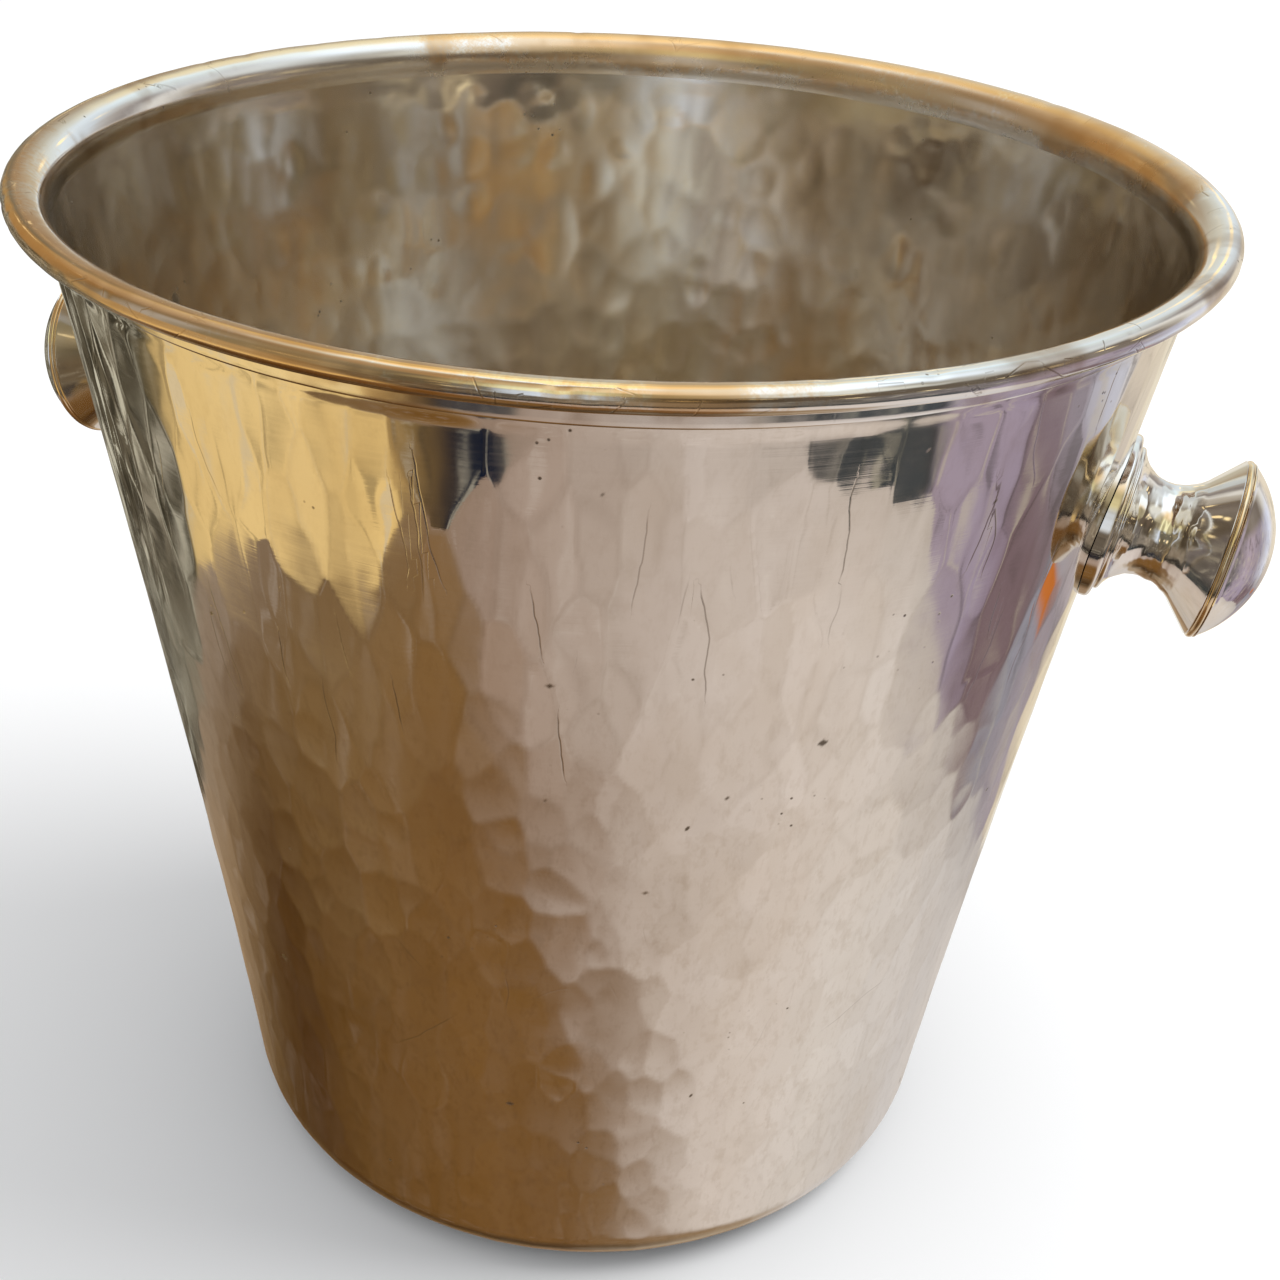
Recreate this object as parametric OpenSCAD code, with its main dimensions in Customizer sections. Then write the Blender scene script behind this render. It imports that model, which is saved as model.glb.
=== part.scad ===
// Champagne bucket with two turned knob handles.
// Millimetres, +Z up. Origin at the centre of the standing ring, on the plane the bucket rests on.
// The knobs lie along +X (right) and -X (left).
//
// Pieces: one sheet body, a folded rim band closed over a round wire, and for each knob a
// foot, a neck, a ring and a domed cap, clamped through the wall by one threaded stud with a
// rubber seal, a flat washer and a domed nut on the inside.

/* [Bucket] */
// Diameter over the outside of the rim
rim_d = 210; // [190:1:230]
// Height from the table to the top of the rim
height = 200; // [185:1:225]
// Outer diameter of the flat ring the bucket stands on
ring_d = 122.6; // [110:0.2:134]
// Width of that flat ring
ring_w = 3; // [2:0.5:5]
// Radius where the wall rolls under into the ring
heel_r = 12.3; // [9:0.1:14]
// Hollow of the wall below a straight line from heel to rim
wall_bow = 1.1; // [0.6:0.1:2.5]
// Sheet thickness of the body
sheet_t = 1; // [0.8:0.1:1.2]
// Rise of the bottom above the table inside the ring
bottom_rise = 3; // [2:0.5:5]

/* [Rim] */
// Diameter of the round bead along the rim
bead_d = 4.2; // [3.8:0.1:5]
// Sheet thickness of the folded rim band
band_t = 0.5; // [0.4:0.05:0.6]
// Outer radius of the flare under the bead
throat_r = 3.6; // [3.4:0.1:4.2]
// Straight leg of the band down the inside of the wall
band_leg = 3.5; // [1:0.1:5]
// Lip of the band down the outside of the wall
band_lip = 3.3; // [1:0.1:5]

/* [Knobs] */
// Height of the knob centre on the wall
knob_z = 149; // [130:1:160]
// Diameter of the foot flange against the wall
foot_d = 29.8; // [27:0.2:33]
// Thickness of the foot flange at its centre line
foot_t = 1.6; // [1.4:0.1:2.4]
// Diameter of the neck at its base bead
neck_base_d = 26; // [25.4:0.2:27]
// Diameter at the waist
waist_d = 17.2; // [15:0.2:19]
// Distance of the waist from the wall
waist_s = 8.6; // [8:0.2:9.4]
// Diameter of the ring at the widest edge
edge_d = 32.3; // [30:0.1:34]
// Distance of the end of the neck from the wall
neck_end = 19.3; // [18.6:0.1:21]
// Thickness of the ring between neck and cap
ring_t = 1.3; // [1:0.1:1.8]
// Height of the domed cap above the ring
dome_h = 8; // [6.5:0.5:9.5]

/* [Fixings] */
// Diameter of the threaded stud
stud_d = 6; // [5:0.5:6]
// Thickness of the rubber seal at its centre
seal_t = 1.5; // [1:0.1:2]
// Diameter of the rubber seal and of the flat washer
washer_d = 16; // [14:0.5:18]
// Thickness of the flat washer
washer_t = 1.2; // [1:0.1:1.6]
// Width across the flats of the domed nut
nut_af = 10; // [9.5:0.5:11]

/* [Hidden] */
$fn = 96;
gap = 0.02;            // soldered or threaded fit
clear = 0.2;           // clearance round the stud
right = 1;
left = -1;

// Profile points are [distance from the axis, height]; angles run counterclockwise from +X.
function polar(centre, radius, angle) = centre + radius * [cos(angle), sin(angle)];

// n + 1 points along an arc, leaving out the first `skip` of them
function arc(centre, radius, from, to, n, skip = 0) =
    [for (i = [skip : n]) polar(centre, radius, from + (to - from) * i / n)];

function reversed(points) = [for (i = [len(points) - 1 : -1 : 0]) points[i]];

// Rim
bead_r = bead_d / 2;
bead_centre = [rim_d / 2 - bead_r, height - bead_r];
flare_centre = [bead_centre[0], height - (throat_r + sheet_t + gap + band_t)];
body_tip_a = 46;       // slope where the body's edge ends inside the band
lip_top_a = 58;        // slope where the outer lip meets the bead

// Bottom: an S-shaped step of two equal arcs joins it to the standing ring
ring_r = ring_d / 2;
ring_in_r = ring_r - ring_w;
step_r = 8;
step_a = acos(1 - bottom_rise / (2 * step_r));
floor_r = ring_in_r - 2 * step_r * sin(step_a);

// Wall: one shallow arc, tangent to the heel and to the flare. Slopes are measured from the
// vertical. Each round redraws the chord between the two tangent points, then the arc over it.
heel_centre = [ring_r, heel_r];
slope_guess = 8;
slope_rounds = 12;
function heel_end(slope) = polar(heel_centre, heel_r, -slope);
function flare_start(slope) = polar(flare_centre, throat_r, 180 - slope);

// [slope at the heel, slope at the flare, radius] of the wall arc
function wall_arc(low, top, rounds) =
    let(
        chord = flare_start(top) - heel_end(low),
        chord_a = atan2(chord[0], chord[1]),
        half_a = 2 * atan(2 * wall_bow / norm(chord))
    )
    rounds == 0
        ? [chord_a - half_a, chord_a + half_a, norm(chord) / (2 * sin(half_a))]
        : wall_arc(chord_a - half_a, chord_a + half_a, rounds - 1);

wall = wall_arc(slope_guess, slope_guess, slope_rounds);
low_slope = wall[0];
top_slope = wall[1];
wall_radius = wall[2];
wall_centre = polar(heel_end(low_slope), wall_radius, -low_slope);

// Knob seat on the outer face of the wall
droop = asin((knob_z - wall_centre[1]) / wall_radius);   // slope of the wall there
knob_x = wall_centre[0] - wall_radius * cos(droop);

// Knob
base_bead_h = 1.1;     // bead at the base of the neck
boss_r = 10;           // boss of the cap, inside the ring
cap_z = neck_end + ring_t;

// Fixings; depths are measured inward from the outer face of the wall
stud_r = stud_d / 2;
bore_r = stud_r + clear;
thread_r = stud_r + gap;
stud_chamfer = 0.5;
stud_in_cap = 3.7;     // stud beyond the ring
cap_hole = 4.5;        // blind hole beyond the ring
stud_in_nut = 7;       // stud beyond the washer
nut_hole = 7.6;        // blind hole beyond the washer
nut_h = 5;             // hexagon
nut_dome_s = 5.8;      // from the washer to the base of the nut's dome
seal_depth = sheet_t + seal_t;
washer_depth = seal_depth + washer_t;

// one face of the body sheet from the axis to the edge; inset 0 is outside, sheet_t inside
function body_face(inset) = concat(
    [[0, bottom_rise + inset]],
    arc([floor_r, bottom_rise - step_r], step_r + inset, 90, 90 - step_a, 6),
    arc([ring_in_r, step_r], step_r - inset, 270 - step_a, 270, 6, skip = 1),
    arc(heel_centre, heel_r - inset, 270, 360 - low_slope, 14),
    arc(wall_centre, wall_radius + inset, 180 - low_slope, 180 - top_slope, 24, skip = 1),
    arc(flare_centre, throat_r + inset, 180 - top_slope, 180 - body_tip_a, 6, skip = 1));

// puts a piece drawn along its own axis onto the wall: z = 0 is the outer face, +z points away
module at_knob(side) {
    rotate([0, 0, side > 0 ? 0 : 180])
        translate([knob_x, 0, knob_z])
            rotate([0, 90 + droop, 0])
                children();
}

// cone that follows the wall near the knobs, moved outward by `out`
module wall_cone(out, half_h) {
    spread = half_h * tan(droop);
    translate([0, 0, knob_z - half_h])
        cylinder(h = 2 * half_h, r1 = knob_x + out - spread, r2 = knob_x + out + spread, $fn = 720);
}

// sheet body: bottom, standing ring, heel, wall and flare, with two stud holes
module bucket_body() {
    color("silver") difference() {
        rotate_extrude() polygon(concat(body_face(0), reversed(body_face(sheet_t))));
        for (side = [right, left])
            at_knob(side) translate([0, 0, -6]) cylinder(h = 10, r = bore_r);
    }
}

// part of the band: round the flare from slope top_a to the wall, then straight down along it.
// `thick` is signed, from `radius` to the far face; `tips` places the end corners across it.
module band_fold(radius, thick, top_a, n, straight, tips) {
    wall_a = 180 - top_slope;
    down_wall = -straight * [sin(top_slope), cos(top_slope)];
    rotate_extrude() polygon(concat(
        arc(flare_centre, radius, wall_a, 180 - top_a, n),
        arc(flare_centre, radius + thick, 180 - top_a, wall_a, n),
        [for (k = tips) polar(flare_centre, radius + thick * k, wall_a) + down_wall]));
}

// folded rim band: tube round the wire, leg down the inside and lip down the outside
module rim_band() {
    color("darkgoldenrod") union() {
        rotate_extrude() translate(bead_centre) difference() {
            circle(r = bead_r);
            circle(r = bead_r - band_t);
        }
        band_fold(throat_r + sheet_t + gap, band_t, 90, 14, band_leg, [0.7, 0.3]);
        band_fold(throat_r - gap, -band_t, lip_top_a, 8, band_lip, [0.8, 0.3]);
    }
}

// round wire inside the rim band
module rim_wire() {
    color("peru") rotate_extrude() translate(bead_centre) circle(r = bead_r - band_t - gap);
}

// foot flange with a rounded edge, its underside shaped to the wall
module knob_foot(side) {
    foot_r = foot_d / 2;
    color("silver") difference() {
        at_knob(side) rotate_extrude() polygon([
            [bore_r, -3],
            [foot_r - 0.2, -3],
            [foot_r, -0.6],
            [foot_r, foot_t - 0.9],
            [foot_r - 0.15, foot_t - 0.55],
            [foot_r - 0.5, foot_t - 0.3],
            [neck_base_d / 2 + 0.5, foot_t],
            [bore_r, foot_t]]);
        wall_cone(0.07, 26);
    }
}

// turned neck: base bead, hollow waist and a flare that opens to 45 degrees
module knob_neck(side) {
    waist_r = waist_d / 2;
    base_r = neck_base_d / 2;
    bead_round = base_bead_h / 2;
    // the lower hollow runs from the top of the bead to the waist
    hollow_w = base_r - 0.45 - waist_r;
    hollow_h = waist_s - (foot_t + base_bead_h);
    hollow_a = 2 * atan(hollow_w / hollow_h);
    hollow_r = hollow_h / sin(hollow_a);
    // the upper arc runs on into a straight 45 degree cone that ends at end_r
    end_r = edge_d / 2 - 0.35;
    upper_r = (neck_end - waist_s - (end_r - waist_r)) / (sin(45) - (1 - cos(45)));
    color("silver") at_knob(side) rotate_extrude() polygon(concat(
        [[bore_r, foot_t], [base_r - 0.3, foot_t]],
        arc([base_r - bead_round, foot_t + bead_round], bead_round, -60, 60, 6),
        arc([waist_r + hollow_r, waist_s], hollow_r, 180 + hollow_a, 180, 12),
        arc([waist_r + upper_r, waist_s], upper_r, 180, 135, 10, skip = 1),
        [[end_r, neck_end], [bore_r, neck_end]]));
}

// ring trapped between the neck and the cap
module knob_ring(side) {
    edge_r = edge_d / 2;
    color("gold") at_knob(side) rotate_extrude() polygon([
        [boss_r, neck_end],
        [edge_r - 0.4, neck_end],
        [edge_r - 0.1, neck_end + 0.25],
        [edge_r, neck_end + ring_t / 2],
        [edge_r - 0.1, cap_z - 0.25],
        [edge_r - 0.4, cap_z],
        [boss_r, cap_z]]);
}

// domed cap with a boss through the ring and a blind threaded hole
module knob_cap(side) {
    cap_r = edge_d / 2 - 0.3;
    dome_r = (cap_r * cap_r + dome_h * dome_h) / (2 * dome_h);
    color("silver") at_knob(side) difference() {
        rotate_extrude() difference() {
            union() {
                intersection() {
                    translate([0, cap_z + dome_h - dome_r]) circle(r = dome_r);
                    translate([0, cap_z]) square([cap_r + 1, dome_h + 1]);
                }
                translate([0, neck_end + gap]) square([boss_r - gap, ring_t + 1]);
            }
            // clears everything on the far side of the axis
            translate([-60, -60]) square([60, 200]);
        }
        translate([0, 0, neck_end - 1]) cylinder(h = 1 + ring_t + cap_hole, r = thread_r);
    }
}

// threaded stud through cap, neck, foot and wall, chamfered at both ends
module stud(side) {
    inner_end = washer_depth + stud_in_nut;
    length = inner_end + cap_z + stud_in_cap;
    tip_r = stud_r - stud_chamfer;
    color("dimgray") at_knob(side) translate([0, 0, -inner_end]) {
        cylinder(h = stud_chamfer, r1 = tip_r, r2 = stud_r);
        translate([0, 0, stud_chamfer]) cylinder(h = length - 2 * stud_chamfer, r = stud_r);
        translate([0, 0, length - stud_chamfer]) cylinder(h = stud_chamfer, r1 = stud_r, r2 = tip_r);
    }
}

// rubber seal, its outer face shaped to the inside of the wall
module seal(side) {
    color("black") intersection() {
        at_knob(side) translate([0, 0, -seal_depth]) difference() {
            cylinder(h = seal_t + 1, d = washer_d);
            translate([0, 0, -1]) cylinder(h = seal_t + 3, d = stud_d + 0.1);
        }
        wall_cone(-sheet_t / cos(droop) - 0.05, 20);
    }
}

// flat washer under the nut
module washer(side) {
    color("goldenrod") at_knob(side) translate([0, 0, -washer_depth]) difference() {
        cylinder(h = washer_t, d = washer_d);
        translate([0, 0, -1]) cylinder(h = washer_t + 2, r = bore_r);
    }
}

// domed nut, closed over the end of the stud
module nut(side) {
    flat_r = nut_af / 2;
    dome_r = flat_r - 0.3;
    chamfer_rise = nut_h * tan(60);
    color("goldenrod") at_knob(side) difference() {
        union() {
            // hexagon with its corners chamfered by a cone at each end
            intersection() {
                translate([0, 0, -washer_depth - nut_h])
                    cylinder(h = nut_h, d = nut_af / cos(30), $fn = 6);
                translate([0, 0, -washer_depth - nut_h])
                    cylinder(h = nut_h, r1 = flat_r + 0.1, r2 = flat_r + 0.1 + chamfer_rise);
                translate([0, 0, -washer_depth - nut_h])
                    cylinder(h = nut_h, r1 = flat_r + 0.4 + chamfer_rise, r2 = flat_r + 0.4);
            }
            translate([0, 0, -washer_depth - nut_dome_s]) cylinder(h = 2, r = dome_r);
            translate([0, 0, -washer_depth - nut_dome_s]) intersection() {
                sphere(r = dome_r);
                translate([-10, -10, -20]) cube([20, 20, 20]);
            }
        }
        translate([0, 0, -washer_depth - nut_hole]) cylinder(h = 9, r = thread_r);
    }
}

bucket_body();
rim_band();
rim_wire();
knob_foot(right);  // right_knob_foot
knob_neck(right);  // right_knob_neck
knob_ring(right);  // right_knob_ring
knob_cap(right);  // right_knob_cap
stud(right);  // right_stud
seal(right);  // right_seal
washer(right);  // right_washer
nut(right);  // right_nut
knob_foot(left);  // left_knob_foot
knob_neck(left);  // left_knob_neck
knob_ring(left);  // left_knob_ring
knob_cap(left);  // left_knob_cap
stud(left);  // left_stud
seal(left);  // left_seal
washer(left);  // left_washer
nut(left);  // left_nut
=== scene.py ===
"""A hammered, silver-plated bucket with a rolled rim and a turned knob on either side.

It stands on z = 0 with its axis on z, and the knobs point along +X and -X. The camera
looks down at it from -Y, turned a little towards +X. Lengths are in mm until they
become mesh points or places in the scene, which are in metres.
"""
import math
from contextlib import contextmanager
from functools import partial
from types import SimpleNamespace

import bmesh
import bpy
import numpy as np
from mathutils import Matrix, Vector

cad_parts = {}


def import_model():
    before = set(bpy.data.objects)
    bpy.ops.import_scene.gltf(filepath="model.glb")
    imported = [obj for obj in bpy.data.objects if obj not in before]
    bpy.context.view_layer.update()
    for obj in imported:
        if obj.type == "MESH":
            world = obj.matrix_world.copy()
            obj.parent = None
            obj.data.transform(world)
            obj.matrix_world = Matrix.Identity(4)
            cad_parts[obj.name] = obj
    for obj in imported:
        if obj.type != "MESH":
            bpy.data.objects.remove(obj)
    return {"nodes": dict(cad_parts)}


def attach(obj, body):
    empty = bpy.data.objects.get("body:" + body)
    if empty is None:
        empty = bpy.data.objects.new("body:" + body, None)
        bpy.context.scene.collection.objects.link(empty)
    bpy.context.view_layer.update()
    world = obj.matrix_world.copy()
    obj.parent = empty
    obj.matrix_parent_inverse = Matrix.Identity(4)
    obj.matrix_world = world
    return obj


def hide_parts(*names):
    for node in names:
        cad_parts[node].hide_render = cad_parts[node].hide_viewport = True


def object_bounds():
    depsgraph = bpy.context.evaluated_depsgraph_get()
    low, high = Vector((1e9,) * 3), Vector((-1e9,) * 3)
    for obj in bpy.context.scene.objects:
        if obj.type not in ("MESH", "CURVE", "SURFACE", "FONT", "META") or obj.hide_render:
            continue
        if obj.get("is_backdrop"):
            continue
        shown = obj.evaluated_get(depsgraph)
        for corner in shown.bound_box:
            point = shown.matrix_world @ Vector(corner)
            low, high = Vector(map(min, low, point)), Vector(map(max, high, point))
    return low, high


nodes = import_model()["nodes"]
cad_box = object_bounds()
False

# ------------------------------------------------------------------ dimensions (mm)
MM = 0.001
rad = np.radians

HEIGHT = 200.0
RIM_DIAMETER = 210.0
SHEET = 1.0             # thickness of the bucket's wall and base
GAP = 0.02              # between pieces that touch

STAND_DIAMETER = 122.6  # outer edge of the flat ring the bucket stands on
STAND_WIDTH = 3.0
BASE_RISE = 3.0         # middle of the base above the stand ring
TURN_RADIUS = 8.0       # the two bends between the stand ring and the base
HEEL_RADIUS = 12.3
WALL_BOW = 1.1

BEAD_DIAMETER = 4.2     # rolled edge of the rim
BAND = 0.5              # thickness of the rim band
THROAT = 3.6            # radius of the flare under the bead, outer face
LEG_LENGTH = 3.5        # how far the band runs down the wall inside
LIP_LENGTH = 3.3        # and outside
TIP_ANGLE = rad(46)     # where the sheet ends inside the band

# knobs; heights are along the knob's own axis, away from the wall
KNOB_Z = 149.0
FOOT_DIAMETER = 29.8
FOOT_THICKNESS = 1.6
NECK_DIAMETER = 26.0
NECK_BEAD = 1.1
WAIST_DIAMETER = 17.2
WAIST_AT = 8.6
EDGE_DIAMETER = 32.3
NECK_END = 19.3
RING_THICKNESS = 1.3
RING_HOLE_RADIUS = 10.0
DOME_HEIGHT = 8.0
STUD_DIAMETER = 6.0
HOLE_RADIUS = STUD_DIAMETER / 2 + 0.2
KNOB_SIDES = ((1, "right"), (-1, "left"))

VIEW_TURN = 17.5        # degrees the camera's side is turned from -Y towards +X

# derived
BEAD_RADIUS = BEAD_DIAMETER / 2
BEAD_R = RIM_DIAMETER / 2 - BEAD_RADIUS     # centre of the bead's section, as radius and z
BEAD_Z = HEIGHT - BEAD_RADIUS
FLARE_Z = HEIGHT - (THROAT + SHEET + GAP + BAND)    # the flare's centre, under the bead's
STAND_RADIUS = STAND_DIAMETER / 2
STAND_INNER = STAND_RADIUS - STAND_WIDTH
TURN_ANGLE = math.acos(1 - BASE_RISE / (2 * TURN_RADIUS))
BASE_RADIUS = STAND_INNER - 2 * TURN_RADIUS * math.sin(TURN_ANGLE)


def fit_wall():
    """The bowed wall between heel and flare: lean at its foot and top, radius, centre."""
    def heel_point(lean):
        return np.array([STAND_RADIUS + HEEL_RADIUS * math.cos(lean),
                         HEEL_RADIUS - HEEL_RADIUS * math.sin(lean)])

    low = high = rad(8)
    for _ in range(12):
        foot = heel_point(low)
        top = np.array([BEAD_R - THROAT * math.cos(high), FLARE_Z + THROAT * math.sin(high)])
        chord = np.linalg.norm(top - foot)
        lean = math.atan2(top[0] - foot[0], top[1] - foot[1])
        half = 2 * math.atan(2 * WALL_BOW / chord)
        low, high = lean - half, lean + half
    radius = chord / (2 * math.sin(half))
    centre = heel_point(low) + radius * np.array([math.cos(low), -math.sin(low)])
    return low, high, radius, centre


FOOT_LEAN, TOP_LEAN, WALL_RADIUS, WALL_CENTRE = fit_wall()


def wall_lean(z):
    return np.arcsin((z - WALL_CENTRE[1]) / WALL_RADIUS)


def wall_radius(z):
    return WALL_CENTRE[0] - WALL_RADIUS * np.cos(wall_lean(z))


KNOB_R = float(wall_radius(KNOB_Z))
DROOP = float(wall_lean(KNOB_Z))    # the knobs stand square to the wall


def smooth(low, high, x):
    """0 below low, 1 above high, and a smooth step between."""
    t = np.clip((x - low) / (high - low), 0, 1)
    return t * t * (3 - 2 * t)


# ------------------------------------------------------------------ mesh helpers
def make_mesh(name, points, faces, materials, index=None):
    """A smooth-shaded object. points: (n, 3) in mm; faces: arrays (k, 4) or (k, 3);
    index: one material number per face."""
    mesh = bpy.data.meshes.new(name)
    coords = np.asarray(points, float) * MM
    mesh.vertices.add(len(coords))
    mesh.vertices.foreach_set("co", coords.astype(np.float32).ravel())
    loops = np.concatenate([f.ravel() for f in faces]).astype(np.int32)
    totals = np.concatenate([np.full(len(f), f.shape[1]) for f in faces]).astype(np.int32)
    starts = np.concatenate([[0], np.cumsum(totals)[:-1]]).astype(np.int32)
    mesh.loops.add(len(loops))
    mesh.loops.foreach_set("vertex_index", loops)
    mesh.polygons.add(len(totals))
    mesh.polygons.foreach_set("loop_start", starts)
    mesh.polygons.foreach_set("loop_total", totals)
    if index is not None:
        mesh.polygons.foreach_set("material_index", np.asarray(index, np.int32))
    mesh.update(calc_edges=True)
    mesh.polygons.foreach_set("use_smooth", np.ones(len(totals), bool))
    ob = bpy.data.objects.new(name, mesh)
    bpy.context.scene.collection.objects.link(ob)
    for mat in materials:
        mesh.materials.append(mat)
    return ob


@contextmanager
def editing(mesh):
    bm = bmesh.new()
    bm.from_mesh(mesh)
    yield bm
    bm.to_mesh(mesh)
    bm.free()


def lathe(name, loop, columns, mat, sharp_deg=None, shape=None, place=None):
    """Turn a closed (r, z) loop about z; points at r = 0 become one vertex each.
    shape and place, in that order, each map (n, 3) points to (n, 3) points."""
    angles = np.linspace(0, 2 * np.pi, columns, endpoint=False)
    rows, points = [], []
    for r, z in loop:
        on_axis = r < 1e-6
        rows.append((len(points), on_axis))
        if on_axis:
            points.append((0, 0, z))
        else:
            points.extend(zip(r * np.cos(angles), r * np.sin(angles), np.full(columns, z)))
    points = np.array(points)
    quads, tris = [], []
    i = np.arange(columns)
    j = (i + 1) % columns
    for (a, a_on_axis), (b, b_on_axis) in zip(rows, rows[1:] + rows[:1]):
        if a_on_axis and b_on_axis:
            continue
        if a_on_axis:
            tris.append(np.stack([np.full(columns, a), b + j, b + i], 1))
        elif b_on_axis:
            tris.append(np.stack([a + i, a + j, np.full(columns, b)], 1))
        else:
            quads.append(np.stack([a + i, a + j, b + j, b + i], 1))
    for move in (shape, place):
        if move is not None:
            points = move(points)
    faces = [np.concatenate(kind) for kind in (quads, tris) if kind]
    ob = make_mesh(name, points, faces, (mat,))
    with editing(ob.data) as bm:
        if sharp_deg is not None:
            for edge in bm.edges:
                if len(edge.link_faces) == 2 and edge.calc_face_angle(0.0) > rad(sharp_deg):
                    edge.smooth = False
        bmesh.ops.recalc_face_normals(bm, faces=bm.faces)
    return ob


def arc(centre, radius, start_deg, end_deg, count):
    return [(centre[0] + radius * math.cos(x), centre[1] + radius * math.sin(x))
            for x in rad(np.linspace(start_deg, end_deg, count))]


def knob_axes(side):
    """A knob's origin on the wall, its axis away from the wall, and its up."""
    return (np.array([side * KNOB_R, 0, KNOB_Z]),
            np.array([side * math.cos(DROOP), 0, -math.sin(DROOP)]),
            np.array([side * math.sin(DROOP), 0, math.cos(DROOP)]))


def place_knob(points, side):
    """From a knob's own frame (z away from the wall) to the bucket's."""
    origin, out, up = knob_axes(side)
    return origin + points @ np.array([-up, [0, side, 0], out])


def knob_coords(side, points):
    """Across a knob's axis along y, across it upwards, and along it."""
    origin, out, up = knob_axes(side)
    offset = points - origin
    return offset[..., 1], offset @ up, offset @ out


def put_values(ob, **values):
    for name, value in values.items():
        attribute = ob.data.attributes.new(name, "FLOAT", "POINT")
        attribute.data.foreach_set("value", np.asarray(value, np.float32))


def mesh_points(ob):
    """Vertices in metres."""
    points = np.zeros(len(ob.data.vertices) * 3, np.float32)
    ob.data.vertices.foreach_get("co", points)
    return points.reshape(-1, 3).astype(float)


def hand_over(ob, replaced):
    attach(ob, "root")
    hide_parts(replaced)


def noise3(points, seed=0, octaves=3, rough=0.5):
    """Smooth value noise, 0..1, at points (n, 3)."""
    total, amount, norm = np.zeros(len(points)), 1.0, 0.0
    for octave in range(octaves):
        scaled = points * 2.0 ** octave + (seed * 17.17 + octave * 5.3)
        cell = np.floor(scaled).astype(np.int64)
        part = scaled - cell
        part = part * part * (3 - 2 * part)
        salt = seed * 2654435761 + octave * 97
        value = np.zeros(len(points))
        for corner in np.ndindex(2, 2, 2):
            x, y, z = (cell + corner).T
            # an integer hash gives each grid corner its value
            mixed = (x * 73856093) ^ (y * 19349663) ^ (z * 83492791) ^ salt
            mixed = (mixed ^ (mixed >> 13)) * 1274126177
            mixed = (mixed ^ (mixed >> 16)) & 0xFFFF
            weight = np.where(corner, part, 1 - part).prod(axis=1)
            value += weight * mixed / 65535.0
        total += amount * value
        norm += amount
        amount *= rough
    return total / norm


# ------------------------------------------------------------------ node helpers
def srgb(*colour):
    """sRGB 0..255 to linear."""
    v = np.array(colour, float) / 255
    return tuple(np.where(v <= 0.04045, v / 12.92, ((v + 0.055) / 1.055) ** 2.4))


def shade(colour, factors):
    return tuple(c * f for c, f in zip(colour, factors))


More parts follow.
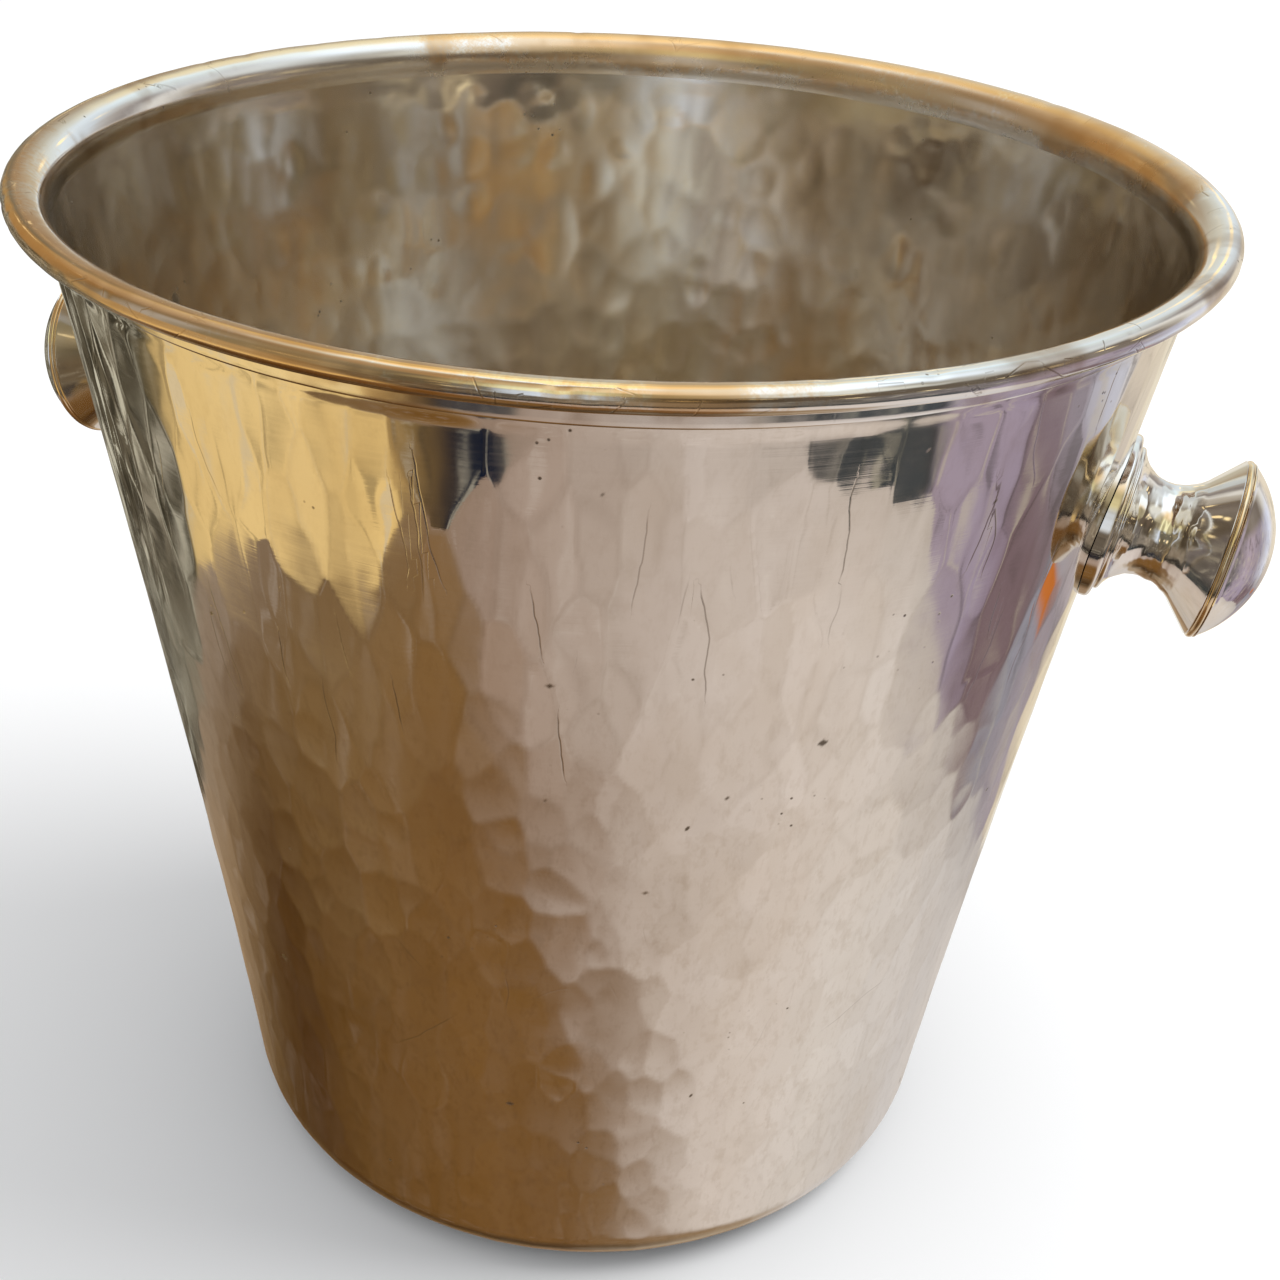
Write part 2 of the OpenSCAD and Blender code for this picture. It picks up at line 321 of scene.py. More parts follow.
class Tree:
    """Short ways to add nodes. A value may be a socket or a number."""

    def __init__(self, node_tree):
        self.nt = node_tree
        node_tree.nodes.clear()

    def put(self, kind, **inputs):
        node = self.nt.nodes.new(kind)
        for name, value in inputs.items():
            self.set(node.inputs[name], value)
        return node

    def set(self, socket, value):
        if isinstance(value, bpy.types.NodeSocket):
            self.nt.links.new(value, socket)
        else:
            if socket.type == "RGBA":
                value = (*value, 1)
            socket.default_value = value

    def math(self, operation, *values):
        node = self.put("ShaderNodeMath")
        node.operation = operation
        for socket, value in zip(node.inputs, values):
            self.set(socket, value)
        return node.outputs[0]

    def add(self, a, b):
        return self.math("ADD", a, b)

    def sub(self, a, b):
        return self.math("SUBTRACT", a, b)

    def mul(self, a, b):
        return self.math("MULTIPLY", a, b)

    def more(self, value, mask, amount):
        """value + mask * amount"""
        return self.add(value, self.mul(mask, amount))

    def vary(self, value, noise, amount):
        """value, swung either way by noise about 0.5"""
        return self.more(value, self.sub(noise, 0.5), amount)

    def _mix(self, data_type, first, factor, a, b, output):
        node = self.put("ShaderNodeMix")
        node.data_type = data_type
        self.set(node.inputs[0], factor)
        self.set(node.inputs[first], a)
        self.set(node.inputs[first + 1], b)
        return node.outputs[output]

    def mix(self, factor, a, b):
        """Between two colours."""
        return self._mix("RGBA", 6, factor, a, b, 2)

    def mixf(self, factor, a, b):
        """Between two numbers."""
        return self._mix("FLOAT", 2, factor, a, b, 0)

    def layer(self, colour, mask, amount, top):
        return self.mix(self.mul(mask, amount), colour, top)

    def step(self, x, low, high, start=0.0, end=1.0):
        """A smooth step from start at low to end at high; low may be the larger."""
        node = self.put("ShaderNodeMapRange")
        node.interpolation_type = "SMOOTHSTEP"
        for socket, value in zip(node.inputs, (x, low, high, start, end)):
            self.set(socket, value)
        return node.outputs[0]

    def fall(self, x, low, high):
        return self.step(x, low, high, start=1.0, end=0.0)

    def ramp(self, x, stops):
        """stops: (position, number or linear colour)."""
        node = self.put("ShaderNodeValToRGB", Fac=x)
        elements = node.color_ramp.elements
        node.color_ramp.interpolation = "LINEAR"
        elements.remove(elements[-1])
        elements[0].position = stops[0][0]
        for position, _ in stops[1:]:
            elements.new(position)
        for element, (_, c) in zip(elements, stops):
            element.color = (*c, 1) if np.ndim(c) else (c, c, c, 1)
        return node.outputs[0]

    def noise(self, vector, scale, detail, rough, distort=0.0):
        return self.put("ShaderNodeTexNoise", Vector=vector, Scale=scale, Detail=detail,
                        Roughness=rough, Distortion=distort).outputs[0]

    def voronoi(self, vector, scale):
        node = self.put("ShaderNodeTexVoronoi", Vector=vector, Scale=scale)
        node.feature = "F1"
        return node

    def stretch(self, vector, scale, offset=(0, 0, 0)):
        return self.put("ShaderNodeMapping", Vector=vector, Scale=scale,
                        Location=offset).outputs[0]

    def shift(self, vector, offset):
        node = self.put("ShaderNodeVectorMath")
        self.set(node.inputs[0], vector)
        self.set(node.inputs[1], offset)
        return node.outputs[0]

    def attribute(self, name):
        node = self.put("ShaderNodeAttribute")
        node.attribute_name = name
        return node.outputs["Fac"]

    def coords(self, kind="Object"):
        return self.put("ShaderNodeTexCoord").outputs[kind]


def material(name):
    mat = bpy.data.materials.new(name)
    mat.use_nodes = True
    t = Tree(mat.node_tree)
    out = t.put("ShaderNodeOutputMaterial")
    bsdf = t.put("ShaderNodeBsdfPrincipled")
    t.set(out.inputs[0], bsdf.outputs[0])
    return mat, t, bsdf


def finish(t, bsdf, colour, rough, height):
    bump = t.put("ShaderNodeBump", Strength=1.0, Distance=1.0, Height=height)
    t.set(bsdf.inputs["Base Color"], colour)
    t.set(bsdf.inputs["Roughness"], rough)
    t.set(bsdf.inputs["Normal"], bump.outputs[0])


# ------------------------------------------------------------------ metal
# scales of the fine brushing lines
BRUSH_SCALES = {
    "round": (14, 14, 1700),    # round the piece
    "even": (900, 900, 900),
    "long": (60, 900, 900),     # along x
}


class Surface:
    """A metal surface while layers are laid on it: colour, roughness, height in metres."""

    def __init__(self, t, base):
        self.t, self.base = t, base
        self.colour = self.rough = self.height = None

    def lay(self, mask, amount=None, colour=None, rough=None, depth=None):
        t = self.t
        if colour is not None:
            factor = mask if amount is None else t.mul(mask, amount)
            self.colour = t.mix(factor, self.colour, colour)
        if rough is not None:
            self.rough = t.more(self.rough, mask, rough)
        if depth is not None:
            self.height = t.sub(self.height, t.mul(mask, depth))

    def lay_shade(self, mask, amount, factors, **effects):
        self.lay(mask, amount, colour=shade(self.base, factors), **effects)


DARK = (0.16, 0.125, 0.09)      # of the base colour: painted shade and dirt in creases, and dark pits


def mottle_wall(s, coords, upper):
    """Fine mottling: old polish and dirt left in the plate, weaker on the upper wall."""
    t = s.t
    fine = t.noise(t.stretch(coords, (1, 1, 0.4)), scale=640, detail=3, rough=0.7)
    spots = t.noise(t.stretch(coords, (1, 1, 0.7)), scale=230, detail=3, rough=0.68)
    weaker = t.mixf(upper, 1.0, 0.45)

    def fine_mask(strength):
        return t.mul(t.step(fine, low=0.48, high=0.68), strength)

    def spot_mask(strength):
        return t.mul(t.step(spots, low=0.54, high=0.68), strength)

    s.lay_shade(fine_mask(0.20), weaker, (0.60, 0.54, 0.46))
    s.lay_shade(spot_mask(0.17), weaker, (0.66, 0.58, 0.48))
    s.lay(spot_mask(0.03), rough=weaker)


def crease_surface(s, depth, darkness):
    """Painted shade and dirt along the edges between hammer marks, and hairlines by the distance
    to the nearest, painted dark as shade and dirt in creases and as dark scratches.
    """
    t = s.t
    distance = t.math("ABSOLUTE", t.attribute("line"))
    crease_shade_and_scratch = t.mul(t.fall(distance, low=0.03, high=0.19), t.attribute("line_at"))
    # painted shade and dirt: darker colour along the edges between hammer marks and along the
    # crease lines; scratches darken the same way
    s.lay_shade(t.attribute("edge"), 0.22, (0.42, 0.36, 0.28))
    s.lay_shade(crease_shade_and_scratch, darkness, DARK, rough=0.12, depth=depth)


def pit_surface(s, coords, depth, marks, patchy):
    """Pits in a few cells of a fine pattern, and the mesh's own dots."""
    t = s.t
    cells = t.voronoi(coords, scale=700)
    red = t.put("ShaderNodeSeparateColor", Color=cells.outputs["Color"]).outputs[0]
    picked = t.math("GREATER_THAN", red, 0.86)
    where = t.attribute("pit") if marks else t.step(patchy, low=0.6, high=0.68)
    pit = t.mul(t.mul(t.fall(cells.outputs["Distance"], low=0.06, high=0.26), picked), where)
    if marks:
        pit = t.math("MAXIMUM", pit, t.step(t.attribute("dot"), low=0.1, high=0.7))
    s.lay_shade(pit, 0.85, DARK, rough=0.3, depth=depth)


def metal(name, base, tints, rough, brush, lines="even", top_brush=0.0, marks=False,
          facet=0.0, satin=0.0, crease=0.0, crease_dark=0.5, pits=0.0, stain=None,
          stain_amount=0.0, wear=None, wear_amount=0.0, hollow_shade=0.0):
    """Worn metal. base, tints, stain, wear: linear colours; rough: (low, high);
    brush, top_brush, crease and pits: heights or depths in metres, top_brush being the
    brushing's on the upper wall; facet, satin: how far the mesh's "cell" value dulls it.
    marks: the mesh carries the values for tones, stains, creases and pits itself."""
    mat, t, bsdf = material(name)
    coords = t.coords()
    if marks:
        broad, patchy, stained = (t.attribute(n) for n in ("tone", "tone2", "stain"))
    else:
        broad = t.noise(coords, scale=30, detail=2, rough=0.55)
        patchy = t.noise(t.stretch(coords, (1, 1, 0.6)), scale=150, detail=2, rough=0.6)
    s = Surface(t, base)
    s.colour = t.mix(t.step(broad, low=0.38, high=0.64), base, tints[0])
    s.lay(t.step(patchy, low=0.48, high=0.72), 0.35, colour=tints[1])

    line = t.noise(t.stretch(coords, BRUSH_SCALES[lines]), scale=1, detail=2, rough=0.65)
    low, high = rough
    if top_brush:
        z = t.put("ShaderNodeSeparateXYZ", Vector=coords).outputs[2]
        upper = t.step(z, low=0.11, high=0.165)
        s.height = t.mul(line, t.mixf(upper, brush, top_brush))
        # rougher low on the wall, smoother high up
        low = t.mixf(upper, low + 0.045, low - 0.015)
        high = t.mixf(upper, high + 0.045, high - 0.04)
    else:
        s.height = t.mul(line, brush)
    s.rough = t.mixf(t.step(patchy, low=0.35, high=0.7), low, high)
    s.rough = t.vary(s.rough, line, 0.05)

    if satin:
        s.lay(t.attribute("cell"), rough=satin)
    if facet:
        # every hammer mark took the polish and the tarnish a little differently
        cell = t.attribute("cell")
        s.lay_shade(cell, facet, (0.76, 0.72, 0.66))
        s.rough = t.vary(s.rough, cell, 0.05)
    if top_brush:
        mottle_wall(s, coords, upper)
    if marks:
        crease_surface(s, crease, crease_dark)
    if pits:
        pit_surface(s, coords, pits, marks, patchy)
    if stain is not None:
        if not marks:
            stained = t.noise(coords, scale=70, detail=3, rough=0.62)
        s.lay(t.mul(t.step(stained, low=0.5, high=0.74), stain_amount), colour=stain, rough=0.10)
    if wear is not None:
        if marks:
            worn = t.vary(t.attribute("wear"), line, 0.35)
        else:
            worn = t.noise(t.stretch(coords, (1, 1, 1), offset=(1, 5, 8)), scale=90, detail=3,
                           rough=0.7, distort=0.4)
        s.lay(t.mul(t.step(worn, low=0.42, high=0.62), wear_amount), colour=wear, rough=0.05)
    # painted shade: the colour darkens in the mesh's hollows, found from its pointiness
    if hollow_shade:
        hollow = t.put("ShaderNodeNewGeometry").outputs["Pointiness"]
        s.lay(t.mul(t.fall(hollow, low=0.40, high=0.485), hollow_shade), colour=(0.05, 0.035, 0.02),
              rough=0.3)
    finish(t, bsdf, s.colour, s.rough, s.height)
    bsdf.inputs["Metallic"].default_value = 1.0
    return mat


def rubber(name):
    mat, t, bsdf = material(name)
    coords = t.coords()
    grain = t.noise(coords, scale=900, detail=4, rough=0.6)
    patches = t.noise(coords, scale=120, detail=3, rough=0.5)
    colour = t.mix(t.step(patches, low=0.4, high=0.65),
                   (0.018, 0.017, 0.016), (0.05, 0.047, 0.043))
    finish(t, bsdf, colour, rough=t.mixf(patches, 0.55, 0.8), height=t.mul(grain, 2e-5))
    return mat


SILVER = (0.90, 0.875, 0.83)
plate_outside = metal(
    "plate_hammered", SILVER, ((0.88, 0.845, 0.79), (0.92, 0.90, 0.87)), rough=(0.05, 0.10),
    brush=6.5e-7, lines="round", top_brush=1.5e-6, pits=8.0e-6, marks=True,
    stain=(0.60, 0.50, 0.37), stain_amount=0.22, crease=1.6e-5, crease_dark=0.78, facet=0.36)
plate_inside = metal(
    "plate_inside", (0.94, 0.95, 0.965), ((0.72, 0.63, 0.51), (0.87, 0.85, 0.79)),
    rough=(0.15, 0.22), brush=6e-7, lines="round", pits=1.0e-5, marks=True,
    stain=(0.42, 0.33, 0.22), stain_amount=0.45, crease=1.0e-5, crease_dark=0.28, facet=0.5)
plate_under = metal(
    "plate_underside", (0.80, 0.76, 0.70), ((0.74, 0.69, 0.61), (0.84, 0.81, 0.77)),
    rough=(0.2, 0.36), brush=8e-7, lines="long", pits=1.2e-5, marks=True,
    stain=(0.4, 0.3, 0.2), stain_amount=0.5, crease=1.5e-5, crease_dark=0.4)
plate_rim = metal(
    "plate_rim", (0.90, 0.90, 0.895), ((0.88, 0.85, 0.80), (0.92, 0.92, 0.92)),
    rough=(0.07, 0.13), brush=4e-7, pits=8e-6, marks=True, wear=(0.82, 0.575, 0.32),
    wear_amount=0.68, hollow_shade=0.36, stain=(0.36, 0.22, 0.10), stain_amount=0.6,
    crease=1.8e-5, crease_dark=0.6, satin=0.15)
plate_knob = metal(
    "plate_knob", (0.92, 0.90, 0.87), ((0.90, 0.87, 0.82), (0.93, 0.92, 0.90)),
    rough=(0.04, 0.09), brush=2.2e-7, pits=4e-6, hollow_shade=0.85, wear=(0.86, 0.74, 0.54),
    wear_amount=0.3)
plate_ring = metal(
    "plate_ring_worn", (0.90, 0.75, 0.52), ((0.86, 0.66, 0.40), (0.91, 0.84, 0.72)),
    rough=(0.10, 0.2), brush=2e-7, hollow_shade=0.5)
wire_brass = metal(
    "wire_brass", (0.78, 0.52, 0.26), ((0.7, 0.45, 0.2), (0.85, 0.62, 0.36)),
    rough=(0.2, 0.35), brush=3e-7)
fixing_brass = metal(
    "brass_fixing", (0.82, 0.60, 0.30), ((0.74, 0.52, 0.24), (0.87, 0.68, 0.4)),
    rough=(0.16, 0.34), brush=3e-7, hollow_shade=0.6, stain=(0.36, 0.24, 0.10), stain_amount=0.5)
stud_steel = metal(
    "steel_stud", (0.56, 0.55, 0.53), ((0.5, 0.49, 0.47), (0.64, 0.63, 0.61)),
    rough=(0.28, 0.42), brush=6e-7)
seal_rubber = rubber("rubber_seal")

# ------------------------------------------------------------------ the sheet's two faces
BASE, HEEL, WALL, FLARE = range(4)
BASE_RINGS = (0, 2, 6, 11, 17, 23, 29, 35, 40, 44, 47)      # radii of the base's rows


def sheet_face(offset, outward, columns, wall_rows, heel_rows, flare_rows):
    """One face of the sheet, offset inwards from the outer one. Its rows run from the
    axis to the edge: points (r, z), normals that point out of the bucket, the distance
    along from the start of the heel, and the kind of part."""
    convex, concave = TURN_RADIUS + offset, TURN_RADIUS - offset
    heel, wall, throat = HEEL_RADIUS - offset, WALL_RADIUS + offset, THROAT + offset
    parts = (
        (BASE, [(r, BASE_RISE + offset) for r in BASE_RINGS]),
        (BASE, [(BASE_RADIUS + convex * math.sin(x),
                 BASE_RISE - TURN_RADIUS + convex * math.cos(x))
                for x in np.linspace(0, TURN_ANGLE, 8)]),
        (BASE, [(STAND_INNER - concave * math.sin(x), TURN_RADIUS - concave * math.cos(x))
                for x in np.linspace(TURN_ANGLE, 0, 8)]),
        (HEEL, [(STAND_RADIUS + heel * math.sin(x), HEEL_RADIUS - heel * math.cos(x))
                for x in np.linspace(0, np.pi / 2 - FOOT_LEAN, heel_rows)]),
        (WALL, [(WALL_CENTRE[0] - wall * math.cos(x), WALL_CENTRE[1] + wall * math.sin(x))
                for x in np.linspace(FOOT_LEAN, TOP_LEAN, wall_rows)]),
        (FLARE, [(BEAD_R - throat * math.cos(x), FLARE_Z + throat * math.sin(x))
                 for x in np.linspace(TOP_LEAN, TIP_ANGLE, flare_rows)]),
    )
    points, kinds = [], []
    for kind, part in parts:
        for r, z in part:
            # parts share their end points
            if not points or np.hypot(points[-1][0] - r, points[-1][1] - z) > 1e-6:
                points.append((r, z))
                kinds.append(kind)
    heel_start = kinds.index(HEEL)
    points, kinds = np.array(points), np.array(kinds)
    way = np.gradient(points, axis=0)
    way /= np.linalg.norm(way, axis=1)[:, None]
    lengths = np.linalg.norm(np.diff(points, axis=0), axis=1)
    along = np.concatenate([[0], np.cumsum(lengths)])
    along = along - along[heel_start]
    return SimpleNamespace(
        points=points, normals=np.stack([way[:, 1], -way[:, 0]], 1), along=along, kinds=kinds,
        outward=outward, angles=np.linspace(0, 2 * np.pi, columns, endpoint=False),
        top=float(along[np.where(kinds == WALL)[0][-1]]))


OUTSIDE = sheet_face(0, 1.0, columns=960, wall_rows=250, heel_rows=18, flare_rows=8)
INSIDE = sheet_face(SHEET, -1.0, columns=600, wall_rows=150, heel_rows=14, flare_rows=6)
LIP_END = OUTSIDE.top - LIP_LENGTH      # where the band's outer lip ends, along the wall


def face_grid(face, height):
    """Points (rows, columns, 3) of a face raised by height."""
    lift = face.outward * face.normals[:, None, :] * height[..., None]
    r, z = np.moveaxis(face.points[:, None, :] + lift, -1, 0)
    return np.stack([r * np.cos(face.angles), r * np.sin(face.angles), z], -1)


# ------------------------------------------------------------------ hammering
def strikes(seed, top, pitch, row_pitch, tilt, curve, depth, tall=False):
    """Rows of hammer strikes up the wall; each is a shallow tilted dish. pitch and
    row_pitch give the spacing at a distance along; tilt and curve are (round, along).
    tall: marks stretch towards the top of the wall."""
    rng = np.random.default_rng(seed)
    rows, along = [], -6
    while along < top + 8 + row_pitch(along):
        number = len(rows)
        spacing = row_pitch(along)
        radius = float(np.interp(along, OUTSIDE.along, OUTSIDE.points[:, 0]))
        n = max(12, int(round(2 * np.pi * radius / pitch(along))))
        shift = 0.5 * (number % 2)
        angles = ((np.arange(n) + shift + rng.uniform(-0.3, 0.3, n)) * 2 * np.pi / n
                  + rng.uniform(0, 0.03))
        upper = float(smooth(0.56, 0.84, along / OUTSIDE.top)) if tall else 0.0
        # a few blows land harder and stay whole and round
        hard = rng.random(n) < 0.3 * (1 - upper)
        rows.append(SimpleNamespace(
            n=n, angles=angles, shift=shift * 2 * np.pi / n, centre=along,
            own=np.random.default_rng(seed * 1000 + number).random(n),
            along=along + rng.uniform(-0.38, 0.38, n) * spacing,
            tilt_round=rng.normal(0, tilt[0], n),
            tilt_along=rng.normal(0, tilt[1], n),
            curve_round=curve[0] * rng.uniform(0.6, 1.25, n) * np.where(hard, 1.7, 1),
            curve_along=(curve[1] * (1 - 0.62 * upper) * rng.uniform(0.5, 1.5, n)
                         * np.where(hard, 2.1, 1)),
            depth=(rng.normal(0, depth * (1 - 0.4 * upper), n)
                   + np.where(hard, 1.6 * depth, 0))))
        along += spacing
    return rows


def hammer(face, rows, soft, seed):
    """Height over the smooth face, the lowest of the nearby strikes; how far the next
    one is above it; the strike's own tone. soft: rounding of the edges between marks."""
    shape = (len(face.along), len(face.angles))
    lowest, second, own = np.full(shape, 1e3), np.full(shape, 1e3), np.zeros(shape)
    centres = np.array([row.centre for row in rows])
    radii = np.maximum(face.points[:, 0], 20)
    places = np.stack([np.repeat(face.along[:, None], shape[1], 1) / 7.5,
                       radii[:, None] * np.cos(face.angles) / 5.5,
                       radii[:, None] * np.sin(face.angles) / 5.5], -1).reshape(-1, 3)
    # the marks' outlines wander by this much round and along
    warp_round, warp_along = (
        (noise3(places, seed + k, 2).reshape(shape) - 0.5) * 2 * amount
        for k, amount in enumerate((0.9, 1.5)))
    for j, (along, radius) in enumerate(zip(face.along, radii)):
        nearest = int(np.argmin(abs(centres - along)))
        best, following = lowest[j], second[j]
        for row in rows[max(0, nearest - 2):nearest + 3]:
            column = np.floor((face.angles - row.shift) / (2 * np.pi / row.n)).astype(int)
            for k in (-2, -1, 0, 1, 2):
                m = (column + k) % row.n
                turn = face.angles - row.angles[m]
                turn = (turn + np.pi) % (2 * np.pi) - np.pi
                u, v = turn * radius, along - row.along[m]
                u_warped, v_warped = u + warp_round[j], v + warp_along[j]
                h = (-row.depth[m] + row.tilt_round[m] * u + row.tilt_along[m] * v
                     + row.curve_round[m] * u_warped * u_warped
                     + row.curve_along[m] * v_warped * v_warped)
                following = np.minimum(following, np.maximum(best, h))
                own[j] = np.where(h < best, row.own[m], own[j])
                best = np.minimum(best, h)
        lowest[j], second[j] = best, following
    nearness = np.clip((second - lowest) / soft, 0, 1)
    lowest = lowest - soft * 0.25 * (1 - nearness) ** 2
    return lowest, second - lowest, own


def waves(face, seed, amount, turns, lengths):
    """Slow unevenness of hand-raised sheet. turns: waves round; lengths: range along."""
    rng = np.random.default_rng(seed)
    h = np.zeros((len(face.along), len(face.angles)))
    for k in turns:
        h += amount / len(turns) ** 0.5 * np.cos(
            k * face.angles[None, :] + rng.uniform(0, 6.3)
            + 2 * np.pi * face.along[:, None] / rng.uniform(*lengths) * rng.choice([-1, 1]))
    return h


def raise_face(face, rows, soft, seed, limits, lower, wave, fade, calm_radius):
    """Hammer a face. fade: strength of each row; calm_radius: left smooth at the knobs."""
    h, face.gap, face.own = hammer(face, rows, soft, seed)
    h = np.clip(h, *limits) - lower
    h += wave
    h *= fade[:, None]
    flat = face_grid(face, np.zeros_like(h))
    for side, _ in KNOB_SIDES:
        u, v, w = knob_coords(side, flat)
        rough = np.where(w > -60, smooth(calm_radius, calm_radius + 4, np.hypot(u, v)), 1)
        h = h * rough - 0.03 * (1 - rough)
    face.fade = fade
    face.grid = face_grid(face, h)[1:]      # without the point on the axis


raise_face(
    OUTSIDE,
    strikes(11, OUTSIDE.top,
            pitch=lambda s: 6.5 - 1.3 * smooth(0.62, 0.88, s / OUTSIDE.top),
            row_pitch=lambda s: 8.6 + 7.6 * smooth(0.58, 0.9, s / OUTSIDE.top),
            tilt=(0.0125, 0.0048), curve=(0.0046, 0.00125), depth=0.014, tall=True),
    soft=0.011, seed=3, limits=(-0.2, 0.14), lower=0.10,
    wave=waves(OUTSIDE, 5, amount=0.05, turns=(3, 5, 7, 9, 12), lengths=(140, 320)),
    fade=(smooth(-4, 12, OUTSIDE.along)
          * (1 - smooth(LIP_END - 2.4, LIP_END - 0.2, OUTSIDE.along))
          * (0.55 + 0.45 * smooth(5, 70, OUTSIDE.along))),
    calm_radius=13.5)
LEG_END = INSIDE.top - LEG_LENGTH       # where the band's inner leg ends, along the wall
raise_face(
    INSIDE,
    strikes(23, INSIDE.top,
            pitch=lambda s: 6.2 + 1.4 * s / INSIDE.top,
            row_pitch=lambda s: 7.4 + 2.6 * s / INSIDE.top,
            tilt=(0.015, 0.013), curve=(0.0068, 0.0044), depth=0.010),
    soft=0.014, seed=8, limits=(-0.25, 0.12), lower=0.05,
    wave=waves(INSIDE, 9, amount=0.07, turns=(4, 7, 10, 13, 17, 23), lengths=(90, 260)),
    fade=(smooth(-4, 12, INSIDE.along)
          * (1 - smooth(LEG_END - 3.0, LEG_END - 0.2, INSIDE.along))),
    calm_radius=8.6)

# ------------------------------------------------------------------ body mesh
SLOT_OUTSIDE, SLOT_INSIDE, SLOT_UNDER = range(3)
OUTSIDE.slot, OUTSIDE.base_slot = SLOT_OUTSIDE, SLOT_UNDER
INSIDE.slot, INSIDE.base_slot = SLOT_INSIDE, SLOT_INSIDE
# how deep each face's stud holes start, along the knob's axis
OUTSIDE.hole_level, INSIDE.hole_level = -0.03, -SHEET + 0.03


def stitch(ids_a, angles_a, ids_b, angles_b, flip):
    """Triangles between two closed loops, both taken in order of angle."""
    a, b = ids_a[np.argsort(angles_a)], ids_b[np.argsort(angles_b)]
    angles_a, angles_b = np.sort(angles_a), np.sort(angles_b)
    next_a = [*angles_a[1:], angles_a[0] + 2 * np.pi, 1e9]
    next_b = [*angles_b[1:], angles_b[0] + 2 * np.pi, 1e9]
    faces, i, j = [], 0, 0
    while i < len(a) or j < len(b):
        if next_a[i] <= next_b[j]:
            faces.append((a[i % len(a)], a[(i + 1) % len(a)], b[j % len(b)]))
            i += 1
        else:
            faces.append((a[i % len(a)], b[(j + 1) % len(b)], b[j % len(b)]))
            j += 1
    faces = np.array(faces)
    return faces[:, ::-1] if flip else faces


def clear_block(face, side, keep):
    """Drop a block of faces round a stud hole; return the loop of vertices about it."""
    columns = face.grid.shape[1]
    u, v, w = knob_coords(side, face.grid)
    near_rows, near_columns = np.where((abs(u) < 5.2) & (abs(v) < 5.2) & (abs(w) < 8))
    if side == 1:
        # this block straddles the first column
        near_columns = np.where(near_columns > columns // 2, near_columns - columns,
                                near_columns)
    r0, r1 = near_rows.min(), near_rows.max()
    c0, c1 = near_columns.min(), near_columns.max()
    keep[np.ix_(np.arange(r0, r1), np.arange(c0, c1) % columns)] = False
    ring = ([(r0, c) for c in range(c0, c1)] + [(r, c1) for r in range(r0, r1)]
            + [(r1, c) for c in range(c1, c0, -1)] + [(r, c0) for r in range(r1, r0, -1)])
    return np.array([face.first + r * columns + (c % columns) for r, c in ring])


def hole_edge(face, side, ring_points):
    """A round hole's edge in a face, one point for each of the loop about it."""
    origin, out, up = knob_axes(side)
    u, v, _ = knob_coords(side, ring_points)
    angles = np.arctan2(v, u)
    across, upward = HOLE_RADIUS * np.cos(angles), HOLE_RADIUS * np.sin(angles)
    sag = across ** 2 / (2 * KNOB_R)
    circle = (origin + across[:, None] * np.array([0, 1.0, 0]) + upward[:, None] * up
              + (face.hole_level - sag)[:, None] * out)
    return circle, angles


def build_body():
    points, quads, tris, rings = [], [], [], {}     # quads and tris: (faces, slots)
    first = 0
    for face in (OUTSIDE, INSIDE):
        rows, columns = face.grid.shape[:2]
        face.first = first
        i = np.arange(columns)
        j = (i + 1) % columns
        low = first + np.arange(rows - 1)[:, None] * columns
        high = low + columns
        grid_quads = np.stack([low + i, low + j, high + j, high + i], -1)
        keep = np.ones((rows - 1, columns), bool)
        for side, _ in KNOB_SIDES:
            rings[face.slot, side] = clear_block(face, side, keep)
        slots = np.where(face.kinds[1:-1, None] == BASE, face.base_slot, face.slot)
        slots = slots * np.ones((1, columns), int)
        # the middle of the base is a fan about one vertex
        pole = first + rows * columns
        fan = np.stack([np.full(columns, pole), j + first, i + first], 1)
        turn = 1 if face is OUTSIDE else -1
        quads.append((grid_quads[keep][:, ::turn], slots[keep]))
        tris.append((fan[:, ::turn], np.full(columns, face.base_slot)))
        points += [face.grid.reshape(-1, 3), np.array([[0, 0, face.points[0][1]]])]
        face.edge = pole - columns + i
        first = pole + 1
    faces_points = np.concatenate(points)

    # the edge of the sheet, hidden in the band
    edge = stitch(OUTSIDE.edge, OUTSIDE.angles, INSIDE.edge, INSIDE.angles, False)
    tris.append((edge, np.full(len(edge), SLOT_OUTSIDE)))

    # round stud holes with their sleeves
    for side, _ in KNOB_SIDES:
        hole = []
        for face in (OUTSIDE, INSIDE):
            ring = rings[face.slot, side]
            ring_points = faces_points[ring]
            circle, angles = hole_edge(face, side, ring_points)
            ids = first + np.arange(len(circle))
            points.append(circle)
            first += len(circle)
            collar = np.stack([ring, np.roll(ring, -1), np.roll(ids, -1), ids], 1)
            normal = np.cross(ring_points[1] - ring_points[0], circle[0] - ring_points[0])
            if normal @ (face.outward * knob_axes(side)[1]) < 0:
                collar = collar[:, ::-1]
            quads.append((collar, np.full(len(ring), face.slot)))
            hole += [ids, angles]
        sleeve = stitch(*hole, side > 0)
        tris.append((sleeve, np.full(len(sleeve), SLOT_OUTSIDE)))

    faces = [np.concatenate([f for f, _ in kind]) for kind in (quads, tris)]
    return make_mesh("bucket_hammered", np.concatenate(points), faces,
                     (plate_outside, plate_inside, plate_under),
                     np.concatenate([slots for _, slots in quads + tris]))


# ------------------------------------------------------------------ marks on the body
def wander(rng, angle, along, radius, length, heading, curl):
    """A line wandering over the wall in 1 mm steps, as (angle, distance along) points."""
    points, way, drift = [(angle, along)], heading, 0.0
    for _ in range(max(2, int(length))):
        drift = 0.8 * drift + rng.normal(0, curl)
        way += drift
        way += 0.26 * (heading - way) + rng.normal(0, 0.10)
        angle += math.cos(way) / radius
        along += math.sin(way)
        points.append((angle, along))
    return np.array(points)


